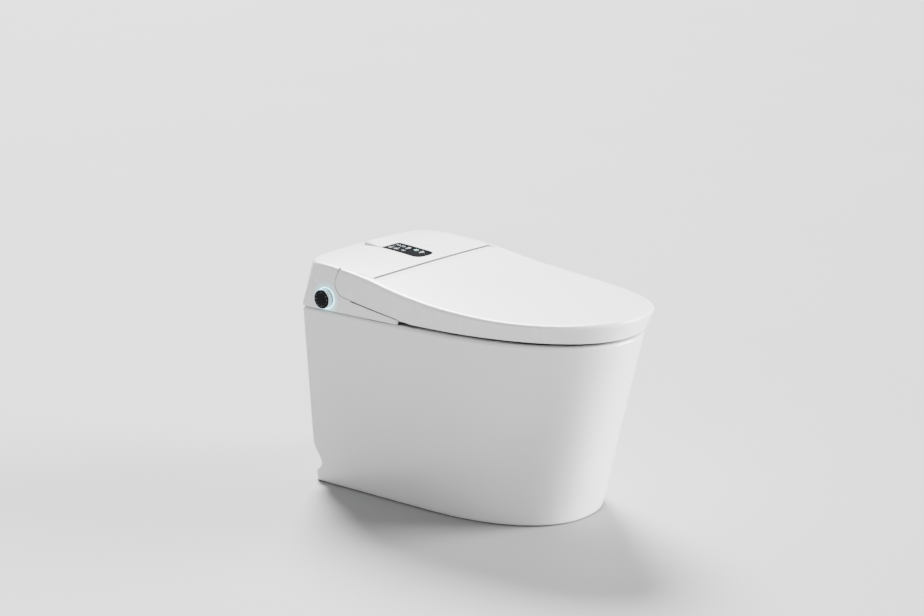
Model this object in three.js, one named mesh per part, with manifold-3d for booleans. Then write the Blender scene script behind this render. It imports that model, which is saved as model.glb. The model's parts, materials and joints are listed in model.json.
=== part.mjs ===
// Floor-standing one-piece toilet with an electric bidet seat built on to its rear deck.
// Millimetres. +Z up, -Y towards the user, +Y towards the wall, -X the side with the rotary knob.
// Origin: centre of the footprint box, on the floor.
import * as THREE from 'three';
import { mergeVertices } from 'three/addons/utils/BufferGeometryUtils.js';
import Module from 'manifold-3d';

const wasm = await Module();
wasm.setup();

// ---------------------------------------------------------------- driving dimensions
const LENGTH = 700;              // front tip of the lid to the rear plane
const FRONT = -LENGTH / 2;
const REAR = LENGTH / 2;
const HALF_WIDTH = 213.3;        // lid at its widest, and the knob's face
const FAR = 400;                 // beyond the object in every direction
const SKY = 600;                 // above it
const GAP = 0.3;                 // between pieces that touch
const SKIN = 3.2;                // moulded plastic wall

const RIM_Z = 386;               // top of the ceramic
const RIM_HALF = 201.5;
const RIM_TIP = -334;
const BASE_HALF = 177.6;         // footprint
const BASE_TIP = -240.6;
const CERAMIC_WALL = 12;
const DECK_Z = 390.4;            // what stands on the base plate starts here

const LID_BOTTOM = 393.6;        // lower edge of the lid's skirt
const LID_TIP_BOTTOM = -336;
const LID_PIVOT = [237.5, 469];  // y, z of the lid's axis
const NOSE = [228, 449.3];       // y, z of the centre of each arm's round end
const NOSE_R = 28.8;
const ARM_INNER_X = 193;         // inner side of each lid arm
const ARM_TOE = 58;              // y where an arm's lower edge runs out
const SLOT_Y = 162.6;            // joint between lid and cover, at the arms
const SLOT_BOW = 10;             // how far that joint bows forward in the middle
const SLOT_GAP = 1.1;            // half the width of that joint
const NOSE_GAP = 0.7;            // half the gap round an arm's end
const SIDE_GAP = 0.5;            // half the gap along an arm's inner side
const PIN_R = 4;

const SEAT_PIVOT = [135, 404];   // y, z of the seat's axis
const SEAT_Z0 = 391;
const SEAT_Z1 = 414.5;
const SEAT_HALF = 188;
const SEAT_TIP = -321;
const SEAT_HOLE = 104;           // half-width of the hole in the seat

const KNOB = [282, 413];         // y, z of the knob's axis
const KNOB_R = 18.5;
const RING_R = 24;               // light ring behind the knob
const RING_X = -201.4;           // its face, flush with the cover's side

const NOZZLE_ANGLE = THREE.MathUtils.degToRad(27);   // below level
const NOZZLE_TIP = [135, 380.7]; // y, z of the wand's front end at rest
const WAND_R = 8;

// ---------------------------------------------------------------- solids from geometry
const solid = (geo) => {
  let g = geo.clone();
  g.deleteAttribute('normal');
  g.deleteAttribute('uv');
  g = mergeVertices(g, 1e-4);
  return new wasm.Manifold(new wasm.Mesh({
    numProp: 3,
    vertProperties: Float32Array.from(g.attributes.position.array),
    triVerts: Uint32Array.from(g.index.array),
  }));
};

const geometryOf = (body) => {
  const mesh = body.getMesh();
  const g = new THREE.BufferGeometry();
  g.setAttribute('position', new THREE.BufferAttribute(Float32Array.from(mesh.vertProperties), 3));
  g.setIndex(new THREE.BufferAttribute(Uint32Array.from(mesh.triVerts), 1));
  g.computeVertexNormals();
  return g;
};

const join = (bodies) => bodies.reduce((a, b) => a.add(b));

const box = (x0, x1, y0, y1, z0, z1) => {
  const g = new THREE.BoxGeometry(x1 - x0, y1 - y0, z1 - z0);
  g.translate((x0 + x1) / 2, (y0 + y1) / 2, (z0 + z1) / 2);
  return solid(g);
};

// A cylinder of radius r and length h along an axis, centred on c.
const cyl = (r, h, axis, c, sides = 20) => {
  const g = new THREE.CylinderGeometry(r, r, h, sides);
  if (axis === 'x') g.rotateZ(-Math.PI / 2);
  if (axis === 'z') g.rotateX(Math.PI / 2);
  g.translate(...c);
  return solid(g);
};

const shapeOf = (points) => new THREE.Shape(points.map((p) => new THREE.Vector2(...p)));

// A plate from an x, y outline.
const plateXY = (points, z0, z1) => {
  const g = new THREE.ExtrudeGeometry(shapeOf(points), { depth: z1 - z0, bevelEnabled: false });
  g.translate(0, 0, z0);
  return solid(g);
};

// A plate from a y, z outline.
const plateYZ = (points, x0, x1) => {
  const g = new THREE.ExtrudeGeometry(shapeOf(points), { depth: x1 - x0, bevelEnabled: false });
  const yzx = new THREE.Matrix4().makeBasis(
    new THREE.Vector3(0, 1, 0), new THREE.Vector3(0, 0, 1), new THREE.Vector3(1, 0, 0));
  g.applyMatrix4(yzx);
  g.translate(x0, 0, 0);
  return solid(g);
};

// A ring or disc from [radius, height] pairs, turned about an axis along X through the knob.
const turnedOnKnob = (profile, x, sides) => {
  const g = new THREE.LatheGeometry(profile.map((p) => new THREE.Vector2(...p)), sides);
  g.rotateZ(Math.PI / 2);
  g.translate(x, ...KNOB);
  return solid(g);
};

const tube = (points, r, sides, steps) => {
  const circle = [];
  for (let i = 0; i < sides; i++) {
    const a = (2 * Math.PI * i) / sides;
    circle.push([r * Math.cos(a), r * Math.sin(a)]);
  }
  const extrudePath = new THREE.CatmullRomCurve3(points.map((p) => new THREE.Vector3(...p)));
  return solid(new THREE.ExtrudeGeometry(shapeOf(circle), { steps, bevelEnabled: false, extrudePath }));
};

const centreOf = (ring) => [0, 1, 2].map((k) => ring.reduce((sum, p) => sum + p[k], 0) / ring.length);

// Rings of equal point count, counter-clockwise from above, bottom ring first.
const loft = (rings, bottom = centreOf(rings[0]), top = centreOf(rings[rings.length - 1])) => {
  const n = rings[0].length;
  const last = (rings.length - 1) * n;
  const corners = [...rings.flat(), bottom, top];
  const [bottomIndex, topIndex] = [corners.length - 2, corners.length - 1];
  const faces = [];
  for (let i = 0; i < n; i++) {
    const j = (i + 1) % n;
    for (let low = 0; low < last; low += n) {
      faces.push(low + i, low + j, low + n + j);
      faces.push(low + i, low + n + j, low + n + i);
    }
    faces.push(bottomIndex, j, i);
    faces.push(topIndex, last + i, last + j);
  }
  const g = new THREE.BufferGeometry();
  g.setAttribute('position', new THREE.BufferAttribute(new Float32Array(corners.flat()), 3));
  g.setIndex(faces);
  return solid(g);
};

// ---------------------------------------------------------------- outlines and surfaces
const clamp01 = (t) => Math.min(1, Math.max(0, t));
const lerp = (a, b, t) => a + (b - a) * t;
const smooth = (t) => clamp01(t) ** 2 * (3 - 2 * clamp01(t));

// A point of a superellipse at an angle, before scaling.
const superPoint = (angle, power) => [Math.cos(angle), Math.sin(angle)]
  .map((v) => Math.sign(v) * Math.abs(v) ** (2 / power));

// Plan outline: superellipse front from the shoulders to the tip, straight sides, straight rear
// with round corners.
const FINE = { front: 30, side: 4, corner: 3, rear: 4 };
const COARSE = { front: 30, side: 2, corner: 3, rear: 2 };
const SMALL = { front: 10, side: 2, corner: 2, rear: 2 };
const plan = ({ half, shoulder, tip, power, rear, corner }, steps = FINE) => {
  const points = [];
  for (let k = 0; k <= steps.front; k++) {
    const [c, s] = superPoint((Math.PI * k) / steps.front, power);
    points.push([-half * c, shoulder - (shoulder - tip) * s]);
  }
  const back = rear - corner;
  for (let k = 1; k <= steps.side; k++) points.push([half, lerp(shoulder, back, k / steps.side)]);
  for (let k = 1; k <= steps.corner; k++) {
    const a = (Math.PI / 2) * (k / steps.corner);
    points.push([half - corner + corner * Math.cos(a), back + corner * Math.sin(a)]);
  }
  for (let k = 1; k <= steps.rear; k++) points.push([(half - corner) * (1 - (2 * k) / steps.rear), rear]);
  for (let k = 1; k <= steps.corner; k++) {
    const a = (Math.PI / 2) * (k / steps.corner);
    points.push([corner - half - corner * Math.sin(a), back + corner * Math.cos(a)]);
  }
  for (let k = 1; k < steps.side; k++) points.push([-half, lerp(back, shoulder, k / steps.side)]);
  return points;
};

// An outline lifted to a height, or to a height given by x and y.
const ring = (outline, z) => outline.map(([x, y]) => [x, y, typeof z === 'function' ? z(x, y) : z]);

// Height of the upper body along the centreline, by y. It falls away by CROWN at each side.
const SPINE = [
  [-350, 435], [-250, 436.5], [-153, 440], [-94, 444], [15, 454],
  [97, 466], [175, 480], [277, 489.3], [350, 489.3],
];
const CROWN = 8;
const CROWN_HALF = 205;
const spineSlope = SPINE.map((_, i) => {
  const before = SPINE[Math.max(0, i - 1)];
  const after = SPINE[Math.min(SPINE.length - 1, i + 1)];
  return (after[1] - before[1]) / (after[0] - before[0]);
});
const spineZ = (y) => {
  const at = Math.min(REAR, Math.max(FRONT, y));
  let i = 0;
  while (i < SPINE.length - 2 && SPINE[i + 1][0] < at) i++;
  const [y0, z0] = SPINE[i];
  const [y1, z1] = SPINE[i + 1];
  const h = y1 - y0;
  const t = (at - y0) / h;
  return (2 * t ** 3 - 3 * t ** 2 + 1) * z0 + (t ** 3 - 2 * t ** 2 + t) * h * spineSlope[i]
    + (3 * t ** 2 - 2 * t ** 3) * z1 + (t ** 3 - t ** 2) * h * spineSlope[i + 1];
};
const topZ = (x, y) => spineZ(y) - CROWN * (x / CROWN_HALF) ** 2;

// The upper body is narrower at the rear.
const TAPER = 18;
const topWidth = (y) => 1 - (TAPER / HALF_WIDTH) * smooth((y - 60) / 290);

// The whole upper body, lid and cover together, moved in by t all round and down by t.
const HUB_Y = 60;                // the top surface is laid out round this point
const head = (t, zBottom) => {
  const low = plan({
    half: RIM_HALF - t, shoulder: 40, tip: LID_TIP_BOTTOM + t, power: 2.25, rear: REAR - t, corner: 8,
  });
  const high = (inset) => plan({
    half: HALF_WIDTH - t - inset, shoulder: 20, tip: FRONT + t + inset, power: 2.25,
    rear: REAR - 3 - t - inset, corner: 30,
  }).map(([x, y]) => [x * topWidth(y), y]);
  const rings = [ring(low, zBottom), ring(low, LID_BOTTOM)];
  for (const [inset, drop] of [[0, 6.5], [2.2, 2], [6.5, 0]]) {
    rings.push(ring(high(inset), (x, y) => topZ(x, y) - t - drop));
  }
  for (const s of [0.86, 0.66, 0.42, 0.18]) {
    const shrunk = high(6.5).map(([x, y]) => [x * s, lerp(HUB_Y, y, s)]);
    rings.push(ring(shrunk, (x, y) => topZ(x, y) - t));
  }
  return loft(rings, [0, HUB_Y, zBottom], [0, HUB_Y, topZ(0, HUB_Y) - t]);
};

const behind = (y) => box(-FAR, FAR, y, FAR, 300, SKY);
const between = (x) => box(-x, x, -FAR, FAR, 300, SKY);

// Distance from the lid's axis to the joint between lid and cover, by x.
const slotRadius = (x) => {
  const y = SLOT_Y - SLOT_BOW * (1 - (x / ARM_INNER_X) ** 2);
  return Math.hypot(LID_PIVOT[0] - y, topZ(x, y) - LID_PIVOT[1]);
};

// Space in front of the joint, turned about the lid's axis above it and upright below it.
const lidMiddle = (grow) => {
  const half = ARM_INNER_X + Math.max(grow, 3);
  const rings = [];
  for (let k = 10; k >= 0; k--) {
    const x = lerp(half, -half, k / 10);
    const r = slotRadius(Math.min(ARM_INNER_X, Math.abs(x))) - grow;
    const side = [[-FAR, 370], [LID_PIVOT[0] - r, 370]];
    for (let step = 0; step <= 4; step++) {
      const up = 6.25 * step;
      side.push([LID_PIVOT[0] - Math.sqrt(r ** 2 - up ** 2), LID_PIVOT[1] + up]);
    }
    side.push([side[side.length - 1][0], 540], [-FAR, 540]);
    rings.push(side.map(([y, z]) => [x, y, z]));
  }
  return loft(rings, [-half, -100, 450], [half, -100, 450]);
};

// Side view of an arm: round end, and a top rear corner rounded about the lid's axis.
const armSide = (grow, bottom) => {
  const points = [[-FAR, bottom], [ARM_TOE, bottom]];
  const r = NOSE_R + grow;
  const lift = (LID_PIVOT[1] - NOSE[1]) / r;
  const endAngle = Math.asin(lift);
  for (let k = 0; k <= 14; k++) {
    const a = lerp(-Math.PI / 2, endAngle, k / 14);
    points.push([NOSE[0] + r * Math.cos(a), NOSE[1] + r * Math.sin(a)]);
  }
  const cornerR = points[points.length - 1][0] - LID_PIVOT[0];
  if (grow < 0) {
    for (const a of [0.35, 0.7, 1.05]) {
      points.push([LID_PIVOT[0] + cornerR * Math.cos(a), LID_PIVOT[1] + cornerR * Math.sin(a)]);
    }
  }
  points.push([points[points.length - 1][0], 540], [-FAR, 540]);
  return points;
};

// Space that belongs to the lid: side -1 is the lid's own edge of the gap and side 1 the cover's,
// each moved away from the gap by more.
const lidZone = (side, more, bottom) => {
  const outline = armSide(side * (NOSE_GAP + more), bottom);
  const inner = ARM_INNER_X - side * (SIDE_GAP + more);
  return join([
    lidMiddle(side * (SLOT_GAP + more)), plateYZ(outline, inner, FAR), plateYZ(outline, -FAR, -inner),
  ]);
};

// ---------------------------------------------------------------- scene
const object = new THREE.Group();

// colour, roughness, metalness
const FINISH = {
  glaze: [0xf2f2f0, 0.12, 0],
  white: [0xf0f0ee, 0.28, 0],
  inner: [0xdcdddb, 0.5, 0],
  black: [0x101114, 0.08, 0],
  satinBlack: [0x1b1c1f, 0.35, 0.1],
  grey: [0x77797c, 0.55, 0],
  darkGrey: [0x33363a, 0.6, 0],
  steel: [0xb9bcc0, 0.3, 1],
  silver: [0xd5d7da, 0.25, 1],
  brass: [0xb08d4a, 0.35, 1],
  rubber: [0xb8babb, 0.85, 0],
  glow: [0x7fe9ff, 0.3, 0],
  board: [0x1d5a38, 0.6, 0],
  hose: [0xc9ccd0, 0.45, 0.3],
  heater: [0xc98a3c, 0.5, 0.2],
  carbon: [0x2a2b2d, 0.9, 0],
};
const put = (parent, name, body, finish) => {
  const g = geometryOf(body);
  g.translate(...parent.position.clone().negate().toArray());
  const [color, roughness, metalness] = FINISH[finish];
  const mesh = new THREE.Mesh(g, new THREE.MeshStandardMaterial({ color, roughness, metalness }));
  mesh.name = name;
  parent.add(mesh);
};
const group = (x, y, z) => {
  const g = new THREE.Group();
  g.position.set(x, y, z);
  object.add(g);
  return g;
};
const fixed = group(0, 0, 0);

// Geometry built along its own Y, with its centre s behind the wand's tip and lifted off its line.
const alongNozzle = (geo, s, lift = 0) => {
  const [cos, sin] = [Math.cos(NOZZLE_ANGLE), Math.sin(NOZZLE_ANGLE)];
  geo.rotateX(NOZZLE_ANGLE);
  geo.translate(0, NOZZLE_TIP[0] + s * cos - lift * sin, NOZZLE_TIP[1] + s * sin + lift * cos);
  return solid(geo);
};

// ---------------------------------------------------------------- ceramic pan
// The outside leans in from the rim to the foot. Its rear can be set forward.
const panPlan = (z, inset = 0, forward = 0) => {
  const t = clamp01(z / RIM_Z);
  return plan({
    half: lerp(BASE_HALF, RIM_HALF, t) - inset,
    shoulder: lerp(42.6, 40, t),
    tip: lerp(BASE_TIP, RIM_TIP, t) + inset,
    power: lerp(2.3, 2.25, t),
    rear: REAR - inset - forward,
    corner: lerp(18, 8, t),
  });
};

// An egg-shaped ring, widest towards the rear.
const bowlRing = (half, front, rear, sides = 32) => {
  const middle = lerp(front, rear, 0.6);
  const points = [];
  for (let k = 0; k < sides; k++) {
    const [c, s] = superPoint((2 * Math.PI * k) / sides, 2.3);
    points.push([half * c, middle + (s < 0 ? middle - front : rear - middle) * s]);
  }
  return points;
};

// Foot groove across the rear: height, and how far the rear is set forward there.
const GROOVE = [[0, 4], [22, 4], [30, 13], [40, 19], [56, 15], [74, 5], [88, 0]];
// Inside of the bowl: half-width, front, rear, height.
const BOWL = [
  [16, -62, -30, 148], [38, -88, 0, 160], [60, -115, 30, 205], [92, -185, 52, 255],
  [124, -252, 88, 325], [138, -284, 112, 372], [140, -290, 118, 400],
];
const BOWL_WALL = 11;
// Centreline of the trapway, y and z, from the sump over the weir and down to the floor. A web
// closes it behind the weir, between TRAPWAY's sixth and seventh points.
const TRAPWAY = [
  [-46, 172], [-10, 172], [40, 190], [84, 222], [118, 238], [150, 222],
  [152, 175], [126, 115], [96, 62], [90, 20], [90, 0],
];
const TRAP_R = 27.5;
const TRAP_OUTER_R = 38;
const BAY = { half: 152, front: 202, floor: 150 };       // open bay behind the bowl

const ceramicPan = () => {
  const outside = loft([
    ...GROOVE.map(([z, forward]) => ring(panPlan(z, 0, forward), z)),
    ...[180, 290, 380].map((z) => ring(panPlan(z), z)),
    ring(panPlan(RIM_Z, 4), RIM_Z),
  ]);
  const deckUnderside = RIM_Z - 14;
  const hollow = loft([-5, 60, 200, 330, deckUnderside]
    .map((z) => ring(panPlan(z, CERAMIC_WALL, z < 100 ? 20 : 0), z)));
  const bowlOutside = loft(BOWL.map(([half, front, rear, z], i) => ring(
    bowlRing(half + BOWL_WALL, front - BOWL_WALL, rear + BOWL_WALL), i === 0 ? z - 12 : z - 2)));
  const bowlInside = loft(BOWL.map(([half, front, rear, z]) => ring(bowlRing(half, front, rear), z)));
  const trapLimb = (points, r, steps) => tube(points.map(([y, z]) => [0, y, z]), r, 12, steps);
  const trapOutside = trapLimb(TRAPWAY, TRAP_OUTER_R, 22);
  const trapRise = trapLimb(TRAPWAY.slice(0, 6), TRAP_R, 14);
  const trapFall = trapLimb([...TRAPWAY.slice(6, -1), [90, -12]], TRAP_R, 10);
  const { half, front, floor } = BAY;
  const wall = CERAMIC_WALL;
  const bayOutside = box(-half - wall, half + wall, front - wall, REAR - 4, floor - wall, 380);
  const bayInside = box(-half, half, front, REAR - wall, floor, FAR);
  const nozzleLedge = box(-34, 34, 104, 196, 336, 380);
  const nozzleTrough = alongNozzle(new THREE.BoxGeometry(44, 190, 60), -10, 16)
    .subtract(box(-60, 60, 196, FAR, 0, SKY));
  const serviceWindow = box(-70, 70, 330, 360, 180, 330);
  const belowFloor = box(-FAR, FAR, -FAR, FAR, -60, 0);
  const inside = join([bowlOutside, trapOutside, bayOutside, nozzleLedge]).intersect(outside);
  return outside.subtract(hollow).add(inside)
    .subtract(join([bowlInside, trapRise, trapFall, bayInside, serviceWindow, nozzleTrough, belowFloor]));
};
put(fixed, 'ceramic_pan', ceramicPan(), 'glaze');

// ---------------------------------------------------------------- flushing parts in the rear bay
const INLET = [50, 275];         // x, z of the water supply inlet
const BAY_FLOOR = BAY.floor + GAP;

const waterTank = () => {
  const neck = cyl(24, 30, 'z', [-76, 270, 350], 16);
  return box(-146, -6, 208, 332, BAY_FLOOR, 352)
    .subtract(box(-142, -10, 212, 328, BAY_FLOOR + 4, 348))
    .subtract(neck);
};
const boosterPump = () => {
  const motor = cyl(27, 96, 'z', [44, 268, BAY_FLOOR + 48.1]);
  const volute = cyl(36, 18, 'z', [44, 268, BAY_FLOOR + 9.1]);
  const outlet = box(12, 60, 224, 262, 158, 176);
  return join([motor, volute, outlet]);
};
const flushValve = () => box(84, 132, 226, 292, 232, 292).add(cyl(12, 40, 'z', [108, 258, 300], 14));
const supplyInlet = () => {
  const [x, z] = INLET;
  return cyl(10.4, 52, 'y', [x, 322.6, z], 16).add(cyl(15, 6, 'y', [x, 322, z], 6));
};
const supplyHose = () => {
  const [x, z] = INLET;
  const route = [
    [x, 296.2, z], [x, 281, z], [58, 266, z - 3], [68, 260, z - 7], [76, 258, z - 9], [83.2, 258, z - 9],
  ];
  return tube(route, 6.5, 10, 12);
};
put(fixed, 'water_tank', waterTank(), 'inner');
put(fixed, 'booster_pump', boosterPump(), 'darkGrey');
put(fixed, 'flush_valve', flushValve(), 'grey');
put(fixed, 'supply_inlet', supplyInlet(), 'brass');
put(fixed, 'supply_hose', supplyHose(), 'hose');

// ---------------------------------------------------------------- bidet unit: base plate and cover
const COVER_BOTTOM = 387.6;
const FLAP = { x0: 40, x1: 79.5, y: 157, z0: 393, z1: 409.5 };   // warm air door
const PLATE_FRONT = 176;
const EAR_X = [139, 151];        // inner and outer side of each seat bracket

const bothSides = (x0, x1, y0, y1, z0, z1) => box(x0, x1, y0, y1, z0, z1).add(box(-x1, -x0, y0, y1, z0, z1));
const pinBores = (r, length, x) => join([-x, x].map((at) => cyl(r, length, 'x', [at, ...LID_PIVOT], 16)));

const basePlate = () => {
  const outline = plan({ half: 193, shoulder: 120, tip: -300, power: 2.25, rear: 342, corner: 12 });
  const notches = join([
    box(-24, 24, 150, 214, 300, SKY),
    bothSides(110, 156, 150, 214, 300, SKY),
    box(-70, -30, 300, 330, 300, SKY),
  ]);
  return loft([ring(outline, RIM_Z + GAP), ring(outline, DECK_Z - 0.4)])
    .intersect(behind(PLATE_FRONT)).subtract(notches);
};

const displayPlan = (grow) => plan({
  half: 30 + grow, shoulder: 195, tip: 178 - grow, power: 2.6, rear: 278 + grow, corner: 1.5,
}, SMALL);

const topCover = () => {
  const shell = head(0, COVER_BOTTOM).intersect(behind(93)).subtract(lidZone(1, 0, 391.5));
  const inner = head(SKIN, 370).intersect(behind(170)).subtract(lidZone(1, SKIN, RIM_Z));
  const frontWall = (x0, x1, z0, z1) => box(x0, x1, 140, 182, z0, z1);
  return shell.subtract(join([
    inner,
    box(-240, 240, 90, 94, 380, 400),                                    // blunt end of each side
    plateXY(displayPlan(0.4), 440, 520),
    cyl(RING_R + 0.4, 24, 'x', [-200, ...KNOB], 28),
    frontWall(-22, 22, 380, 424),                                        // nozzle
    frontWall(FLAP.x0 - 1, FLAP.x1 + 1.5, 390.5, 411),                   // warm air
    frontWall(-82, -38, 394, 409),                                       // air intake
    frontWall(-EAR_X[1] - 1, -EAR_X[0] + 1, 380, 396),
    frontWall(EAR_X[0] - 1, EAR_X[1] + 1, 380, 396),
    pinBores(PIN_R + 0.5, 30, 190),
  ]));
};
put(fixed, 'base_plate', basePlate(), 'inner');
put(fixed, 'top_cover', topCover(), 'white');

// ---------------------------------------------------------------- display, and the pod behind it
const displayGlass = () => plateXY(displayPlan(0), 440, 520).intersect(head(0, 380)).subtract(head(3, 380));
const displayPod = () => {
  const side = [[278.7, 470], [322, 470], [324, 491], [322, 494.6], [318, 496], [278.7, 489.9]];
  const recess = head(0, 380).intersect(box(-60, 60, 100, FAR, 440, 520))
    .add(box(-60, 60, 200, FAR, 440, 489.6));
  return plateYZ(side, -30, 30).subtract(recess);
};
const displayBoard = () => plateYZ([[184, 468], [272, 476.6], [272, 478.2], [184, 469.6]], -27, 27);
put(fixed, 'display_glass', displayGlass(), 'black');
put(fixed, 'display_pod', displayPod(), 'white');
put(fixed, 'display_board', displayBoard(), 'board');

// ---------------------------------------------------------------- bidet unit: washing
const WAND_LENGTH = 122;
const wandRod = (r, length) => new THREE.CylinderGeometry(r, r, length, 16);
const nozzleGuide = () => alongNozzle(new THREE.BoxGeometry(26, 92, 26), 96)
  .subtract(alongNozzle(wandRod(WAND_R + 0.7, 140), 96));
const nozzleMotor = () => cyl(12, 26, 'x', [27, 246, 416], 18).add(box(14, 20, 236, 256, 404, 428));
const heaterTank = () => box(-78, -24, 196, 290, DECK_Z, 446).add(cyl(6, 20, 'z', [-40, 282, 452], 12));
const inletValve = () => box(-66, -34, 300, 330, 402, 432).add(cyl(6, 20, 'z', [-50, 315, 394], 12));
const washPump = () => cyl(15, 40, 'x', [2, 306, 408], 18);
put(fixed, 'nozzle_guide', nozzleGuide(), 'grey');
put(fixed, 'nozzle_motor', nozzleMotor(), 'steel');
put(fixed, 'heater_tank', heaterTank(), 'inner');
put(fixed, 'inlet_valve', inletValve(), 'grey');
put(fixed, 'wash_pump', washPump(), 'darkGrey');

// ---------------------------------------------------------------- bidet unit: power, boards, lid drive
const powerSupply = () => box(70, 168, 288, 330, DECK_Z, 434);
const controlBoard = () => join([
  box(-170, -74, 300, 328, 396, 398),
  box(-160, -140, 306, 322, 398, 412),
  box(-130, -118, 306, 318, 398, 408),
]);
const PIN_BORE_R = PIN_R + 0.4;
// Gearbox round the lid's pin, with the motor lower down beside it.
const lidMotor = () => {
  const [y, z] = LID_PIVOT;
  return box(-187, -175, y - 15, y + 15, z - 28, z + 5.6).add(cyl(13, 44, 'x', [-153.5, y, z - 13]))
    .subtract(cyl(PIN_BORE_R, 14, 'x', [-184, y, z], 16));
};
const lidDamper = () => cyl(6.3, 12, 'x', [181, ...LID_PIVOT])
  .add(cyl(8, 34, 'x', [159, ...LID_PIVOT]))
  .subtract(cyl(PIN_BORE_R, 14, 'x', [184, ...LID_PIVOT], 16));
const knobEncoder = () => {
  const [y, z] = KNOB;
  return box(-191, -176, y - 12, y + 12, z - 12, z + 12).subtract(cyl(6.4, 40, 'x', [-190, y, z], 16));
};
put(fixed, 'power_supply', powerSupply(), 'steel');
put(fixed, 'control_board', controlBoard(), 'board');
put(fixed, 'lid_motor', lidMotor(), 'darkGrey');
put(fixed, 'lid_damper', lidDamper(), 'darkGrey');
put(fixed, 'knob_encoder', knobEncoder(), 'darkGrey');

// ---------------------------------------------------------------- bidet unit: warm air and air cleaning
const DRYER = [92, 238];         // x, y of each fan's axis
const DEODORISER = [-112, 230];
const blowerHousing = () => box(62, 122, 208, 268, DECK_Z, 430)
  .subtract(cyl(25, 33, 'z', [...DRYER, 410.5], 24))
  .subtract(cyl(15, 12, 'z', [...DRYER, 428], 18))
  .subtract(box(64.5, 79, 200, 240, 394, 409));
const dryerDuct = () => box(41, 80, 170, 207.6, 391.4, 410.4).subtract(box(43, 78, 160, 220, 393.4, 408.4));
const deodoriserCase = () => box(-136, -88, 206, 254, DECK_Z, 426)
  .subtract(cyl(20, 29, 'z', [...DEODORISER, 408], 20))
  .subtract(cyl(12, 14, 'z', [...DEODORISER, 424], 16))
  .subtract(box(-94, -80, 214, 246, 394, 409));
const carbonFilter = () => box(-134, -90, 184, 205, 391.5, 420);
put(fixed, 'blower_housing', blowerHousing(), 'grey');
put(fixed, 'dryer_duct', dryerDuct(), 'grey');
put(fixed, 'deodoriser_case', deodoriserCase(), 'grey');
put(fixed, 'carbon_filter', carbonFilter(), 'carbon');

// A hub on a disc with paddles round its rim.
const rotor = (r, height, blades, centre) => {
  const [x, y, z] = centre;
  const paddles = [];
  for (let k = 0; k < blades; k++) {
    const g = new THREE.BoxGeometry(7, 1.4, height);
    g.translate(r - 4.2, 0, 0);
    g.rotateZ((2 * Math.PI * k) / blades);
    g.translate(x, y, z);
    paddles.push(solid(g));
  }
  const hub = cyl(6, height, 'z', centre, 14);
  const disc = cyl(r, 2, 'z', [x, y, z - height / 2 + 1], 24);
  return join([hub, disc, ...paddles]);
};
const dryerFan = [...DRYER, 408];
const deodoriserFan = [...DEODORISER, 407];
put(group(...dryerFan), 'dryer_rotor', rotor(22.5, 24, 10, dryerFan), 'darkGrey');
put(group(...deodoriserFan), 'deodoriser_rotor', rotor(17.5, 22, 8, deodoriserFan), 'darkGrey');

const flapHinge = group(0, FLAP.y, FLAP.z1);
const dryerFlap = () => box(FLAP.x0, FLAP.x1, FLAP.y - 1, FLAP.y + 1, FLAP.z0, FLAP.z1)
  .add(cyl(2, FLAP.x1 - FLAP.x0, 'x', [(FLAP.x0 + FLAP.x1) / 2, FLAP.y, FLAP.z1 - 0.5], 12));
put(flapHinge, 'dryer_flap', dryerFlap(), 'white');

// ---------------------------------------------------------------- seat brackets
// A foot on the deck and an upright ear with a bore.
const seatBracket = (side) => {
  const [pivotY, pivotZ] = SEAT_PIVOT;
  const foot = RIM_Z + 0.4;
  const outline = [
    [pivotY - 12, foot], [205, foot], [205, foot + 3.6], [160, foot + 3.6], [150, 396],
    [pivotY + 12.5, pivotZ], [pivotY + 9, pivotZ + 8.5], [pivotY, pivotZ + 12.5],
    [pivotY - 9, pivotZ + 8.5], [pivotY - 12.5, pivotZ],
  ];
  const [x0, x1] = EAR_X.map((x) => side * x).sort((a, b) => a - b);
  return plateYZ(outline, x0, x1).subtract(cyl(PIN_R + 0.6, 40, 'x', [side * 145, ...SEAT_PIVOT], 16));
};
const SIDES = [['left', -1], ['right', 1]];
for (const [name, side] of SIDES) put(fixed, `seat_bracket_${name}`, seatBracket(side), 'inner');

// ---------------------------------------------------------------- lid
const lid = group(0, ...LID_PIVOT);
const TUB_END = 48;              // the lid is hollow from side to side in front of this y
const lidShell = () => {
  const whole = head(0, LID_BOTTOM).intersect(lidZone(-1, 0, LID_BOTTOM));
  const inside = head(SKIN, 370);
  const front = inside.intersect(box(-FAR, FAR, -FAR, TUB_END, 300, SKY));
  const rear = inside.intersect(between(189)).intersect(lidZone(-1, SKIN, 380));
  const behindSeat = box(-189, 189, 100, 200, 380, 417);
  return whole.subtract(join([front, rear, behindSeat, pinBores(PIN_R + 0.3, 17.5, 190.75)]));
};
const lidLiner = () => {
  const inset = SKIN + 2.5;
  const outline = plan({
    half: RIM_HALF - inset, shoulder: 40, tip: LID_TIP_BOTTOM + inset, power: 2.25, rear: 230, corner: 4,
  });
  const front = box(-FAR, FAR, -FAR, TUB_END - 2, 300, SKY);
  const rear = between(187).intersect(lidZone(-1, SKIN + 4, 380));
  return loft([ring(outline, 419.5), ring(outline, 422)]).intersect(front.add(rear));
};
put(lid, 'lid_shell', lidShell(), 'white');
put(lid, 'lid_liner', lidLiner(), 'inner');

// Four rubber buffers, as name, x and y.
const corners = (frontX, frontY, rearX, rearY) => [
  ['front_left', -frontX, frontY], ['front_right', frontX, frontY],
  ['rear_left', -rearX, rearY], ['rear_right', rearX, rearY],
];
for (const [name, x, y] of corners(120, -190, 150, 60)) {
  put(lid, `lid_bumper_${name}`, cyl(7, 4, 'z', [x, y, 417.2], 14), 'rubber');
}
for (const [name, side] of SIDES) {
  put(lid, `lid_pin_${name}`, cyl(PIN_R, 18.4, 'x', [side * 190, ...LID_PIVOT], 16), 'steel');
}

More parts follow.
